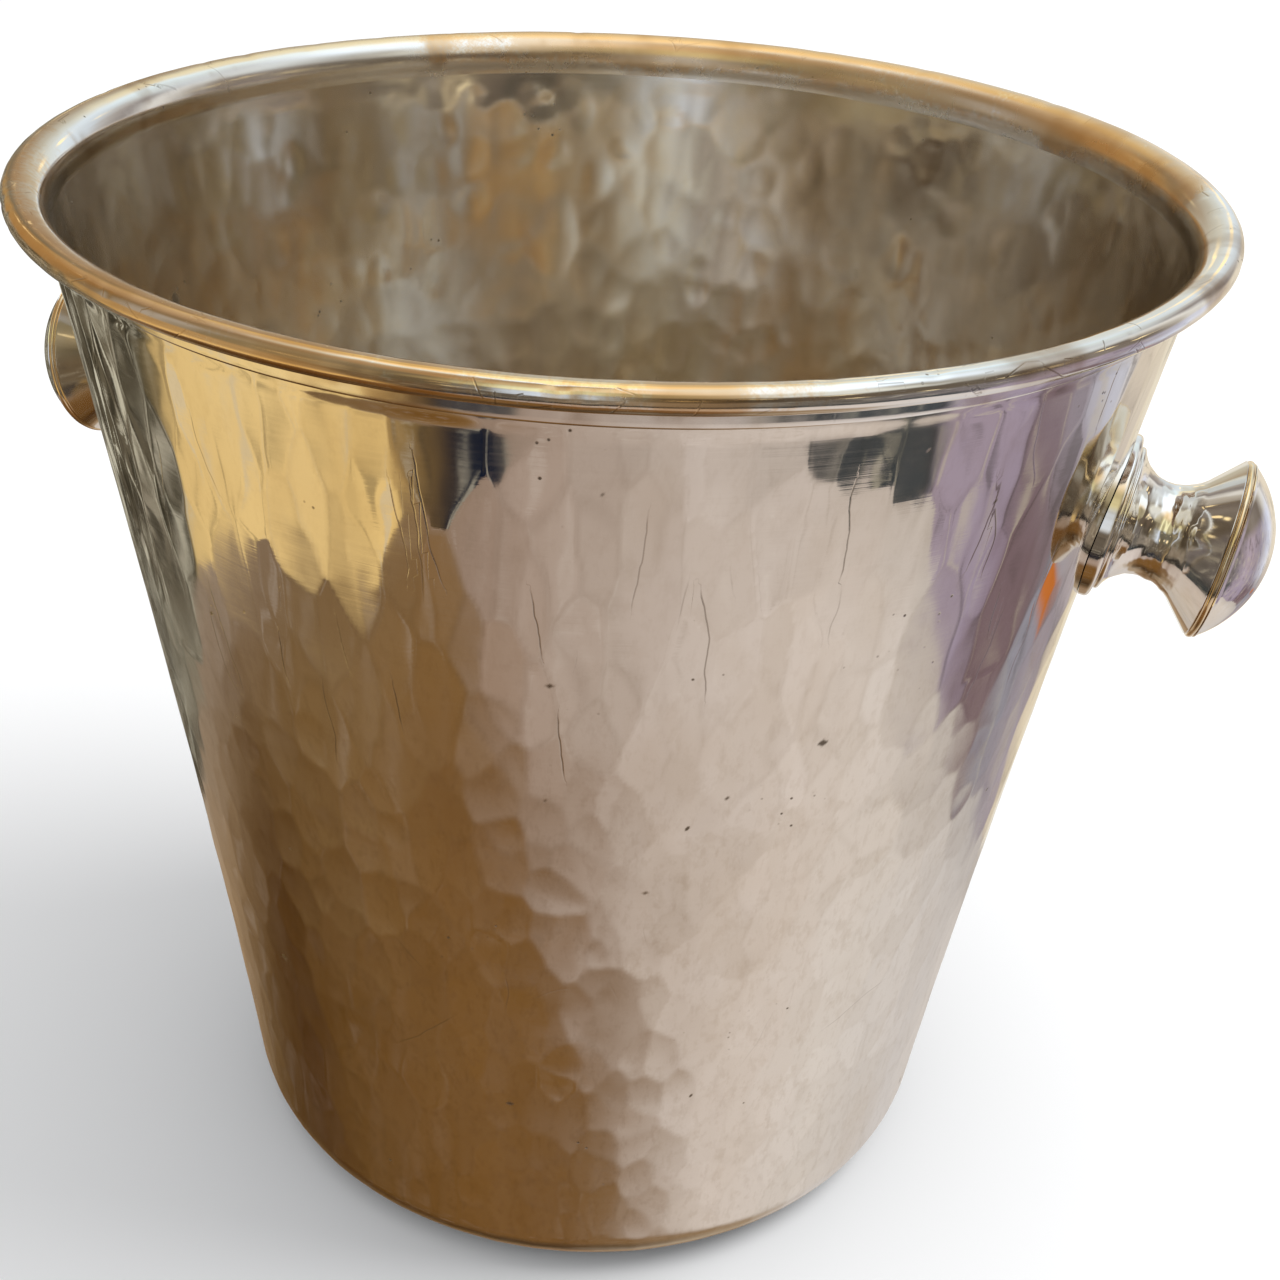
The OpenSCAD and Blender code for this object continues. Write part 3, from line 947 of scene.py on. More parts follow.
def wandering_lines(rng, face, count, places, lengths, lean, curl, strengths):
    """(line, strength) pairs. places: range as parts of the wall; lean: spread about
    straight down, or None for any direction."""
    lines = []
    for _ in range(count):
        along = face.top * rng.uniform(*places)
        radius = float(np.interp(along, face.along, face.points[:, 0]))
        angle, length = rng.uniform(0, 6.283), rng.uniform(*lengths)
        if lean is None:
            heading = rng.uniform(0, 6.28)
        else:
            heading = -math.pi / 2 + rng.normal(0, lean)
        line = wander(rng, angle, along, radius, length, heading, curl)
        lines.append((line, rng.uniform(*strengths)))
    return lines


def draw_lines(face, lines):
    """Signed distance (mm) to the nearest line, and its strength, over a face's grid."""
    along, columns = face.along[1:], len(face.angles)
    radii = np.maximum(face.points[1:, 0], 5)
    distance = np.full((len(along), columns), 9.0)
    strength = np.zeros((len(along), columns))
    pitch = 2 * np.pi / columns
    for line, weight in lines:
        count = len(line) - 1
        for k, ((angle_a, along_a), (angle_b, along_b)) in enumerate(zip(line, line[1:])):
            rows = np.where(abs(along - (along_a + along_b) / 2) < 2.4)[0]
            if not len(rows):
                continue
            radius = radii[rows][:, None]
            reach = int(2.6 / radii[rows[0]] / pitch) + 2
            middle = int(round(((angle_a + angle_b) / 2 % (2 * np.pi)) / pitch))
            near = np.arange(middle - reach, middle + reach + 1)
            angles = near * pitch
            start = angle_a - 2 * np.pi * round((angle_a - angles[reach]) / (2 * np.pi))
            end = angle_b + (start - angle_a)
            u = (angles[None] - start) * radius
            v = (along[rows] - along_a)[:, None]
            du, dv = (end - start) * float(radius.mean()), along_b - along_a
            part = np.clip((u * du + v * dv) / (du * du + dv * dv + 1e-9), 0, 1)
            away = np.hypot(u - part * du, v - part * dv)
            sign = np.where(u * dv - v * du >= 0, 1.0, -1.0)
            taper = min(1.0, (k + part.mean() + 0.3) / 3.0, (count - k) / 3.0)
            here = np.ix_(rows, near % columns)
            closer = away < abs(distance[here])
            distance[here] = np.where(closer, away * sign, distance[here])
            strength[here] = np.where(closer, weight * taper * (1 - smooth(0.9, 1.7, away)),
                                      strength[here])
    return distance, strength


def add_spots(rng, dots, face, count, sizes, strengths, heights=None):
    """Dark spots; heights: range of the factor that stretches them upwards."""
    flat = face.grid.reshape(-1, 3)
    for _ in range(count):
        centre = flat[rng.integers(0, len(flat))]
        size = rng.uniform(*sizes)
        squeeze = rng.uniform(*heights) if heights else 1.0
        near = np.where((abs(flat - centre) < 8).all(1))[0]
        offset = flat[near] - centre
        offset[:, 2] *= squeeze
        spot = 1 - smooth(size * 0.3, size, np.linalg.norm(offset, axis=1))
        ids = face.first + near
        dots[ids] = np.maximum(dots[ids], spot * rng.uniform(*strengths))


def body_lines():
    rng = np.random.default_rng(77)
    outside = []
    # creases between hammer marks, short and upright; their darkening is painted shade and dirt
    outside += wandering_lines(rng, OUTSIDE, 34, places=(0.15, 0.9), lengths=(3, 8),
                               lean=0.3, curl=0.05, strengths=(0.10, 0.40))
    # long dark hairlines between the tall facets near the top: painted shade and dirt in the
    # creases
    outside += wandering_lines(rng, OUTSIDE, 80, places=(0.72, 0.99), lengths=(7, 24),
                               lean=0.07, curl=0.03, strengths=(0.3, 0.95))
    # scratches
    outside += wandering_lines(rng, OUTSIDE, 10, places=(0.25, 0.98), lengths=(4, 18),
                               lean=None, curl=0.02, strengths=(0.12, 0.4))
    inside = wandering_lines(rng, INSIDE, 70, places=(0.1, 0.95), lengths=(4, 16),
                             lean=0.6, curl=0.12, strengths=(0.2, 0.7))
    # lines on the outside stop short of the band's lip
    outside = [(line[line[:, 1] < LIP_END - 0.5], weight) for line, weight in outside]
    outside = [(line, weight) for line, weight in outside if len(line) > 2]
    return rng, outside, inside


def body_marks(body):
    rng, lines_outside, lines_inside = body_lines()
    points = mesh_points(body)
    total = len(points)
    line, line_at, dot = np.full(total, 9.0), np.zeros(total), np.zeros(total)
    edge, cell = np.zeros(total), np.full(total, 0.5)
    upper = smooth(0.45, 0.8, OUTSIDE.along[1:] / OUTSIDE.top)[:, None]
    # per face: lines, width of the painted shade and dirt on the edges between marks, and its
    # strength
    for face, lines, width, strength in ((OUTSIDE, lines_outside, 0.034, 0.35 + 0.4 * upper),
                                         (INSIDE, lines_inside, 0.05, 0.30)):
        rows, columns = face.grid.shape[:2]
        part = slice(face.first, face.first + rows * columns)
        distance, weight = draw_lines(face, lines)
        line[part], line_at[part] = distance.ravel(), weight.ravel()
        fade = face.fade[1:, None]
        between = 1 - smooth(0.0, width, face.gap[1:])
        edge[part] = (between * (fade > 0.2) * strength).ravel()
        cell[part] = (0.5 + (face.own[1:] - 0.5) * fade).ravel()
    edge *= smooth(0.36, 0.62, noise3(points * 70, 12, 3, 0.6))
    add_spots(rng, dot, OUTSIDE, 60, sizes=(0.5, 1.1), strengths=(0.4, 1.0))
    add_spots(rng, dot, INSIDE, 30, sizes=(0.6, 2.2), strengths=(0.25, 0.6),
              heights=(0.3, 0.9))

    # painted reflection and shade: inside, the tone shifts from the camera's left to its right,
    # browner and darker to the right
    tone = noise3(points * 24, 1, 3)
    x, y = points[INSIDE.first:, 0], points[INSIDE.first:, 1]
    rightward = x * math.cos(rad(VIEW_TURN)) + y * math.sin(rad(VIEW_TURN))
    tone[INSIDE.first:] += 0.02 + 0.40 * rightward / 0.09
    upright = points * np.array([1, 1, 0.45])
    put_values(body, cell=cell, edge=edge, tone=tone, tone2=noise3(upright * 100, 2, 3, 0.6),
               stain=noise3(upright * 46, 3, 4, 0.62),
               pit=smooth(0.63, 0.70, noise3(points * 60, 4, 3, 0.6)),
               line=line, line_at=line_at, dot=dot)


body = build_body()
body_marks(body)
hand_over(body, "bucket_body")


# ------------------------------------------------------------------ rim band
def flare_point(radius, deg):
    """On a circle about the flare's centre, from level with it (0) to the top (90)."""
    return (BEAD_R - radius * math.cos(rad(deg)), FLARE_Z + radius * math.sin(rad(deg)))


def leg_point(radius, down):
    """Below the flare, down along the wall's lean at its top."""
    return (BEAD_R - radius * math.cos(TOP_LEAN) - down * math.sin(TOP_LEAN),
            FLARE_Z + radius * math.sin(TOP_LEAN) - down * math.cos(TOP_LEAN))


def band_loop():
    """Section of the band: outer lip, bead, inner leg, then back along the sheet."""
    inner, outer = THROAT + SHEET + GAP, THROAT - GAP       # the faces against the sheet
    lip, leg = outer - BAND, inner + BAND                   # the faces in sight
    rise = BEAD_Z - FLARE_Z
    meet = math.asin((lip ** 2 + rise ** 2 - BEAD_RADIUS ** 2) / (2 * lip * rise))
    bead_start = math.degrees(math.atan2(FLARE_Z + lip * math.sin(meet) - BEAD_Z,
                                         -lip * math.cos(meet)))
    lean = math.degrees(TOP_LEAN)
    loop = [leg_point(lip + 0.30, LIP_LENGTH), leg_point(lip + 0.12, LIP_LENGTH - 0.03),
            leg_point(lip + 0.03, LIP_LENGTH - 0.14)]
    loop += [leg_point(lip, d) for d in np.linspace(LIP_LENGTH - 0.4, 0.4, 5)]
    loop += [flare_point(lip, d) for d in np.linspace(lean, math.degrees(meet) - 2.0, 10)]
    loop += arc((BEAD_R, BEAD_Z), BEAD_RADIUS, bead_start + 6, 90, 34)
    loop += [flare_point(leg, d) for d in np.linspace(90, lean, 18)[1:]]
    # the inner leg thins towards its end
    loop += [leg_point(leg - 0.40 * float(smooth(0.3, LEG_LENGTH, d)), d)
             for d in np.linspace(0.4, LEG_LENGTH, 9)]
    loop += [leg_point(inner + 0.03, LEG_LENGTH + 0.05)]
    loop += [leg_point(inner, d)
             for d in (LEG_LENGTH - 0.1, LEG_LENGTH - 0.6, LEG_LENGTH / 2)]
    loop += [flare_point(inner, d) for d in np.linspace(lean, 50, 6)]
    loop += [flare_point(inner - 0.3, 53), flare_point(outer + 0.3, 53)]
    loop += [flare_point(outer, d) for d in np.linspace(50, lean, 6)]
    loop += [leg_point(outer, d)
             for d in (LIP_LENGTH / 2, LIP_LENGTH - 0.5, LIP_LENGTH - 0.1)]
    return loop


def wrap_angle(angle):
    return (angle + np.pi) % (2 * np.pi) - np.pi


def band_dents(points):
    """Small knocks and the hand-worked unevenness of the bead."""
    r = np.hypot(points[:, 0], points[:, 1])
    angle = np.arctan2(points[:, 1], points[:, 0])
    rng = np.random.default_rng(31)
    on_bead = (np.clip((r - (BEAD_R - 3.4)) / 1.4, 0, 1)
               * np.clip((points[:, 2] - (FLARE_Z - 0.5)) / 2.0, 0, 1))

    def ripple(amount, turns):
        return sum(amount / math.sqrt(k / 9) * np.cos(k * angle + rng.uniform(0, 6.3))
                   for k in turns)

    out = ripple(0.035, (5, 9, 14, 23, 31, 47, 66, 90))
    up = ripple(0.030, (4, 8, 13, 21, 34, 52, 77))
    section = np.arctan2(points[:, 2] - BEAD_Z, r - BEAD_R)
    dent = np.zeros(len(points))
    for _ in range(46):
        at_angle, at_section = rng.uniform(0, 2 * np.pi), rng.uniform(-0.5, 2.6)
        size, depth = rng.uniform(0.9, 2.6), rng.uniform(0.04, 0.13)
        u = wrap_angle(angle - at_angle) * RIM_DIAMETER / 2
        v = wrap_angle(section - at_section) * BEAD_RADIUS
        dent -= depth * np.exp(-(u ** 2 + v ** 2) / (size ** 2 / 2))
    out = on_bead * (out * 0.6 + dent * np.cos(section)) - on_bead * 0.06
    up = on_bead * (up * 0.6 + dent * np.sin(section)) - on_bead * 0.06
    grow = (r + out) / r
    return np.stack([points[:, 0] * grow, points[:, 1] * grow, points[:, 2] + up], 1)


def build_rim():
    rim = lathe("rim_band_rolled", band_loop(), 900, plate_rim, sharp_deg=50,
                shape=band_dents)
    # the round hollow that holds the wire
    hollow = lathe("tmp_hollow", arc((BEAD_R, BEAD_Z), BEAD_RADIUS - BAND, 0, 345, 24),
                   240, plate_rim)
    with editing(rim.data) as bm:
        band_faces = len(bm.faces)
        bm.from_mesh(hollow.data)
        bm.faces.ensure_lookup_table()
        bmesh.ops.reverse_faces(bm, faces=bm.faces[band_faces:])
    bpy.data.objects.remove(hollow)
    return rim


# wear of the plate: (degrees, amount). 0 is the camera's right, -90 its own side; most
# worn at the back right and the front left
RIM_WEAR = (
    (-180, 0.50), (-165, 0.60), (-150, 0.60), (-134, 0.66), (-110, 0.58), (-90, 0.53),
    (-73, 0.42), (-51, 0.12), (-28, 0.08), (-12, 0.10), (-5, 0.28), (2, 0.62), (30, 0.72),
    (60, 0.74), (90, 0.70), (108, 0.64), (118, 0.46), (128, 0.20), (140, 0.08), (165, 0.06),
    (173, 0.25), (180, 0.50),
)
SCRATCH_RADIUS = 103        # scratches on the rim are laid out on this radius


def rim_scratches(angle, section):
    """Distance across the nearest scratch, and its strength, for each vertex."""
    rng = np.random.default_rng(91)
    distance, strength = np.full(len(angle), 9.0), np.zeros(len(angle))
    for _ in range(160):
        at_angle, at_section = rng.uniform(-np.pi, np.pi), rng.uniform(-0.9, 3.0)
        heading, length = rng.normal(0, 0.7), rng.uniform(1.0, 6.0)
        u = wrap_angle(angle - at_angle) * SCRATCH_RADIUS
        v = wrap_angle(section - at_section) * BEAD_RADIUS
        near = np.where((abs(u) < length + 2) & (abs(v) < 3))[0]
        cos, sin = math.cos(heading), math.sin(heading)
        along, across = u[near] * cos + v[near] * sin, -u[near] * sin + v[near] * cos
        weight = ((1 - smooth(length / 2 - 0.4, length / 2 + 0.2, abs(along)))
                  * (1 - smooth(0.8, 1.5, abs(across))) * rng.uniform(0.3, 1.0))
        closer = (abs(across) < abs(distance[near])) & (weight > 0.01)
        distance[near] = np.where(closer, across, distance[near])
        strength[near] = np.where(closer, weight, strength[near])
    return distance, strength


def rim_marks(rim):
    points = mesh_points(rim)
    angle = np.arctan2(points[:, 1], points[:, 0])
    section = np.arctan2(points[:, 2] * 1000 - BEAD_Z,
                         np.hypot(points[:, 0], points[:, 1]) * 1000 - BEAD_R)
    distance, strength = rim_scratches(angle, section)
    view_deg = np.degrees(wrap_angle(angle - rad(VIEW_TURN)))
    worn = np.interp(view_deg, *zip(*RIM_WEAR))
    # less wear on the bead's underside
    worn_section = (0.05 * np.cos(section - 0.9)
                    - 0.42 * smooth(0.35, 0.9, -np.sin(section)))
    patches = noise3(points * 75, 5, 4, 0.65)
    none = np.zeros(len(points))
    put_values(rim, tone=noise3(points * 30, 6, 3), tone2=noise3(points * 140, 7, 3, 0.6),
               stain=patches, pit=smooth(0.6, 0.68, noise3(points * 90, 8, 3, 0.6)),
               line=distance, line_at=strength, dot=none, edge=none,
               cell=smooth(-0.35, 0.75, np.sin(rad(view_deg + 12))),
               wear=worn + worn_section + (patches - 0.5) * 0.6)


rim = build_rim()
rim_marks(rim)
hand_over(rim, "rim_band")


# ------------------------------------------------------------------ knobs
def uneven(points, seed, amount, ripple=0.0):
    """Slight unevenness of cast, turned and polished metal; ripple adds to the neck."""
    rng = np.random.default_rng(seed)
    r, z = np.hypot(points[:, 0], points[:, 1]), points[:, 2]
    weight = np.clip((r - 5) / 3, 0, 1)
    swell = np.zeros(len(points))
    for _ in range(7):
        direction = rng.normal(0, 0.35, 3)
        swell += np.cos(points @ direction + rng.uniform(0, 6.3))
    out = amount * weight * swell / 3
    if ripple:
        start, end = 3.2, 18.6
        on_neck = smooth(start, start + 1.2, z) * (1 - smooth(end - 1.2, end, z))
        rings = noise3(points * np.array([0.16, 0.16, 0.62]), seed, 3, 0.55) - 0.5
        lumps = noise3(points * np.array([0.45, 0.45, 0.35]) + 9, seed + 3, 2, 0.5) - 0.5
        out += ripple * on_neck * weight * (rings * 2 + lumps * 1.1)
    grow = 1 + out / np.maximum(r, 1)
    return np.stack([points[:, 0] * grow, points[:, 1] * grow, z], 1)


def place_foot(points, side):
    """Place a foot, and slide its low points along the axis to just above the wall."""
    placed = place_knob(points, side)
    low = points[:, 2] < -0.01
    out = knob_axes(side)[1]
    for _ in range(4):
        off = np.hypot(placed[:, 0], placed[:, 1]) - (wall_radius(placed[:, 2]) + 0.06)
        placed = np.where(low[:, None], placed - off[:, None] * out[None], placed)
    return placed


def foot_loop():
    top, edge, neck = FOOT_THICKNESS, FOOT_DIAMETER / 2, NECK_DIAMETER / 2
    return [(HOLE_RADIUS, top), (6, top), (neck + 0.35, top), (neck + 0.6, top - 0.02),
            *arc((edge - 0.85, top - 0.9), 0.85, 84, 0, 10),
            (edge, top - 1.2), (edge, 0.2), (edge, -0.5), (edge - 0.15, -0.7),
            *((r, -0.7) for r in np.linspace(edge - 1, HOLE_RADIUS, 10)), (HOLE_RADIUS, 0.4)]


def neck_loop():
    """A bead at the foot, a hollow curve in to the waist, and one out to the edge."""
    neck, waist, edge = NECK_DIAMETER / 2, WAIST_DIAMETER / 2, EDGE_DIAMETER / 2 - 0.35
    inward = neck - 0.45 - waist
    rise = WAIST_AT - (FOOT_THICKNESS + NECK_BEAD)
    turn = 2 * math.atan(inward / rise)
    low_radius = rise / math.sin(turn)
    high_turn = rad(45)
    high_radius = ((NECK_END - WAIST_AT - (edge - waist))
                   / (math.sin(high_turn) - (1 - math.cos(high_turn))))
    return [(HOLE_RADIUS, FOOT_THICKNESS + 0.01), (neck - 0.3, FOOT_THICKNESS + 0.01),
            *arc((neck - NECK_BEAD / 2, FOOT_THICKNESS + NECK_BEAD / 2), NECK_BEAD / 2,
                 -62, 66, 12),
            *((waist + low_radius * (1 - math.cos(x)), WAIST_AT - low_radius * math.sin(x))
              for x in np.linspace(turn, 0, 26)),
            *((waist + high_radius * (1 - math.cos(x)), WAIST_AT + high_radius * math.sin(x))
              for x in np.linspace(0, high_turn, 24)[1:]),
            (edge - 0.25, NECK_END - 0.42), (edge, NECK_END - 0.2),
            (edge - 0.04, NECK_END - 0.06), (edge - 0.2, NECK_END), (12, NECK_END),
            (HOLE_RADIUS, NECK_END)]


def ring_loop():
    edge, half = EDGE_DIAMETER / 2, RING_THICKNESS / 2
    low, high = NECK_END + 0.01, NECK_END + RING_THICKNESS - 0.01
    return [(RING_HOLE_RADIUS, low), (edge - 0.5, low),
            *arc((edge - half, NECK_END + half), half - 0.01, -80, 80, 12),
            (edge - 0.5, high), (RING_HOLE_RADIUS, high)]


def cap_loop():
    """A dome, with a spigot through the ring that is bored for the stud."""
    edge, base = EDGE_DIAMETER / 2 - 0.3, NECK_END + RING_THICKNESS
    radius = (edge * edge + DOME_HEIGHT * DOME_HEIGHT) / (2 * DOME_HEIGHT)
    half = math.asin(edge / radius)
    top, spigot, bore = base + DOME_HEIGHT, RING_HOLE_RADIUS - GAP, STUD_DIAMETER / 2 + GAP
    return [(0, top),
            *((radius * math.sin(x), top - radius + radius * math.cos(x))
              for x in np.linspace(0.03, half - 0.035, 40)),
            (edge - 0.12, base + 0.34), (edge, base + 0.16), (edge - 0.05, base + 0.03),
            (edge - 0.2, base + 0.01), (spigot, base + 0.01), (spigot, NECK_END + 0.1),
            (9.7, NECK_END + GAP), (bore, NECK_END + GAP), (bore, base + 4.4),
            (0, base + 4.5)]


def build_knob(side, side_name):
    neck_shape = partial(uneven, seed=40 + side, amount=0.06, ripple=0.21)
    cap_shape = partial(uneven, seed=50 + side, amount=0.05)
    # part, section, material, slot, placing, shaping
    parts = (
        ("foot", foot_loop(), plate_knob, "knob_plate", place_foot, None),
        ("neck", neck_loop(), plate_knob, "knob_plate", place_knob, neck_shape),
        ("ring", ring_loop(), plate_ring, "ring_plate", place_knob, None),
        ("cap", cap_loop(), plate_knob, "knob_plate", place_knob, cap_shape),
    )
    for part, loop, mat, slot, place, shape in parts:
        ob = lathe(f"{side_name}_knob_{part}_turned", loop, 168, mat, sharp_deg=40,
                   shape=shape, place=partial(place, side=side))
        hand_over(ob, f"{side_name}_knob_{part}")


for side, side_name in KNOB_SIDES:
    build_knob(side, side_name)

# ------------------------------------------------------------------ CAD pieces kept as they are
# name endings, material, slot
KEPT_PIECES = (
    (("rim_wire",), wire_brass, "wire_brass"),
    (("_stud",), stud_steel, "stud_steel"),
    (("_seal",), seal_rubber, "seal_rubber"),
    (("_washer", "_nut"), fixing_brass, "fixing_brass"),
)
for name, ob in nodes.items():
    for endings, mat, slot in KEPT_PIECES:
        if name.endswith(endings):
            ob.data.materials.clear()
            ob.data.materials.append(mat)


# ------------------------------------------------------------------ floor and light
def build_floor():
    half = 60       # metres
    mesh = bpy.data.meshes.new("floor")
    corners = [(-half, -half, 0), (half, -half, 0), (half, half, 0), (-half, half, 0)]
    mesh.from_pydata(corners, [], [(0, 1, 2, 3)])
    floor = bpy.data.objects.new("floor", mesh)
    bpy.context.scene.collection.objects.link(floor)
    floor.location.z = -0.0002
    mat, _, bsdf = material("floor_pale")
    bsdf.inputs["Base Color"].default_value = (0.93, 0.93, 0.93, 1)
    bsdf.inputs["Roughness"].default_value = 0.9
    bsdf.inputs["Specular IOR Level"].default_value = 0.0
    mesh.materials.append(mat)
    floor.visible_glossy = False    # the world has its own ground for reflections
    floor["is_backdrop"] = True


def build_key_light():
    lamp = bpy.data.lights.new("key", "AREA")
    lamp.shape = "DISK"
    lamp.size = 1.4
    lamp.energy = 30
    key = bpy.data.objects.new("key", lamp)
    bpy.context.scene.collection.objects.link(key)
    key.location = (1.35, 0.55, 1.75)
    aim = Vector((0, 0, 0.05)) - key.location
    key.rotation_euler = aim.to_track_quat("-Z", "Y").to_euler()
    key.visible_glossy = False
    key.visible_camera = False


build_floor()
build_key_light()

# ------------------------------------------------------------------ surroundings in the metal
# Azimuth in degrees: 0 is the camera's side, positive towards its right, 180 behind the
# bucket. A table top lies below an edge, a room above it.

# (azimuth, elevation) of the table's edge
EDGE = (
    (-180, -36), (-150, -36), (-145, -37), (-107, -36.2), (-95, -38.4), (-82, -39.7),
    (-70, -42.4), (-58, -43.0), (-50, -42.0), (-42, -41.2), (-38, -43.3), (-23, -43.1),
    (-18, -39.7), (25, -39.6), (28, -40.8), (50, -40.4), (60, -40.0), (71, -39.3),
    (75, -38.4), (80, -39.8), (88, -41.2), (98, -41.0), (120, -40), (162, -36), (180, -36),
)
# (azimuth, elevation) where the table's brown turns to pink
BROWN_TOP = (
    (-180, -34), (-45, -40), (-40, -42.5), (-30, -49.2), (-17, -52.6), (-5, -55.2),
    (8, -56.9), (20, -59.2), (60, -64), (150, -62), (165, -50), (180, -40),
)
# colours: (azimuth, sRGB red, green, blue)
BROWN_LOW = (
    (-180, 140, 112, 84), (-150, 98, 72, 38), (-111, 72, 43, 8), (-92, 95, 64, 24),
    (-70, 106, 73, 34), (-40, 115, 79, 36), (0, 116, 82, 44), (60, 140, 112, 80),
    (150, 170, 150, 125), (180, 140, 112, 84),
)
BROWN_HIGH = (
    (-180, 180, 152, 118), (-110, 104, 78, 48), (-80, 122, 94, 58), (-40, 132, 100, 62),
    (40, 160, 138, 110), (180, 180, 152, 118),
)
PINK = (
    (-180, 190, 175, 155), (-40, 152, 127, 108), (-28, 158, 134, 116), (-2, 178, 160, 146),
    (25, 200, 185, 173), (58, 212, 198, 186), (90, 212, 201, 190), (137, 203, 195, 188),
    (180, 205, 192, 176),
)
ABOVE_EDGE = (
    (-180, 236, 232, 222), (-165, 226, 220, 206), (-160, 96, 84, 66), (-147, 66, 58, 44),
    (-130, 104, 94, 76), (-113, 66, 60, 46), (-108, 222, 188, 124), (-70, 238, 204, 138),
    (-52, 228, 192, 124), (-47, 176, 142, 88), (-41, 110, 86, 52), (-37, 20, 26, 40),
    (-23, 22, 28, 42), (-18, 52, 44, 38), (26, 44, 40, 38), (30, 44, 47, 48),
    (70, 66, 69, 70), (75, 160, 144, 154), (96, 158, 143, 158), (101, 118, 96, 100),
    (118, 126, 106, 108), (122, 146, 144, 152), (131, 152, 142, 148), (145, 164, 152, 156),
    (151, 224, 206, 172), (162, 236, 230, 216), (180, 236, 232, 222),
)
FURTHER_UP = (
    (-180, 225, 220, 208), (-163, 190, 182, 160), (-152, 84, 76, 60), (-115, 104, 94, 70),
    (-105, 184, 156, 108), (-60, 180, 152, 108), (-45, 112, 94, 68), (-20, 92, 82, 70),
    (10, 150, 136, 118), (35, 104, 96, 86), (70, 120, 110, 108), (85, 176, 160, 170),
    (100, 150, 138, 148), (120, 218, 220, 232), (132, 226, 212, 190), (160, 226, 214, 190),
    (180, 225, 220, 208),
)
# above the horizon: pale windows and warm lamps, in three belts
ROOM_LOW = (
    (-180, 192, 184, 164), (-165, 158, 134, 104), (-153, 118, 108, 88), (-145, 170, 136, 82),
    (-130, 170, 130, 74), (-112, 152, 116, 66), (-103, 122, 106, 76), (-88, 176, 178, 180),
    (-74, 124, 112, 84), (-52, 158, 142, 110), (-38, 84, 74, 54), (-24, 96, 90, 74),
    (-15, 220, 228, 238), (-6, 176, 176, 172), (4, 106, 94, 72), (12, 64, 51, 36),
    (26, 49, 38, 27), (36, 78, 60, 46), (46, 80, 66, 52), (75, 84, 72, 60),
    (90, 128, 117, 108), (104, 100, 88, 80), (113, 190, 182, 170), (122, 232, 228, 220),
    (131, 130, 122, 120), (140, 176, 168, 160), (149, 206, 212, 214), (160, 224, 232, 234),
    (170, 214, 214, 202), (180, 192, 184, 164),
)
ROOM_MIDDLE = (
    (-180, 240, 222, 176), (-161, 222, 190, 120), (-150, 208, 184, 144),
    (-115, 164, 140, 112), (-100, 122, 102, 76), (-70, 150, 138, 112), (-45, 96, 86, 66),
    (-30, 170, 156, 112), (-17, 255, 246, 190), (-4, 196, 180, 130), (8, 150, 138, 106),
    (20, 190, 178, 146), (34, 222, 220, 210), (55, 226, 222, 206), (72, 150, 142, 130),
    (100, 220, 224, 222), (125, 204, 208, 210), (142, 214, 222, 220), (156, 232, 248, 252),
    (168, 240, 224, 186), (180, 240, 222, 176),
)
ROOM_TOP = (
    (-180, 255, 226, 160), (-150, 250, 224, 174), (-128, 226, 240, 244),
    (-100, 172, 154, 128), (-60, 150, 124, 90), (-28, 184, 156, 112), (2, 226, 200, 156),
    (36, 236, 238, 234), (110, 238, 246, 250), (152, 240, 244, 234), (170, 255, 232, 186),
    (180, 255, 226, 160),
)


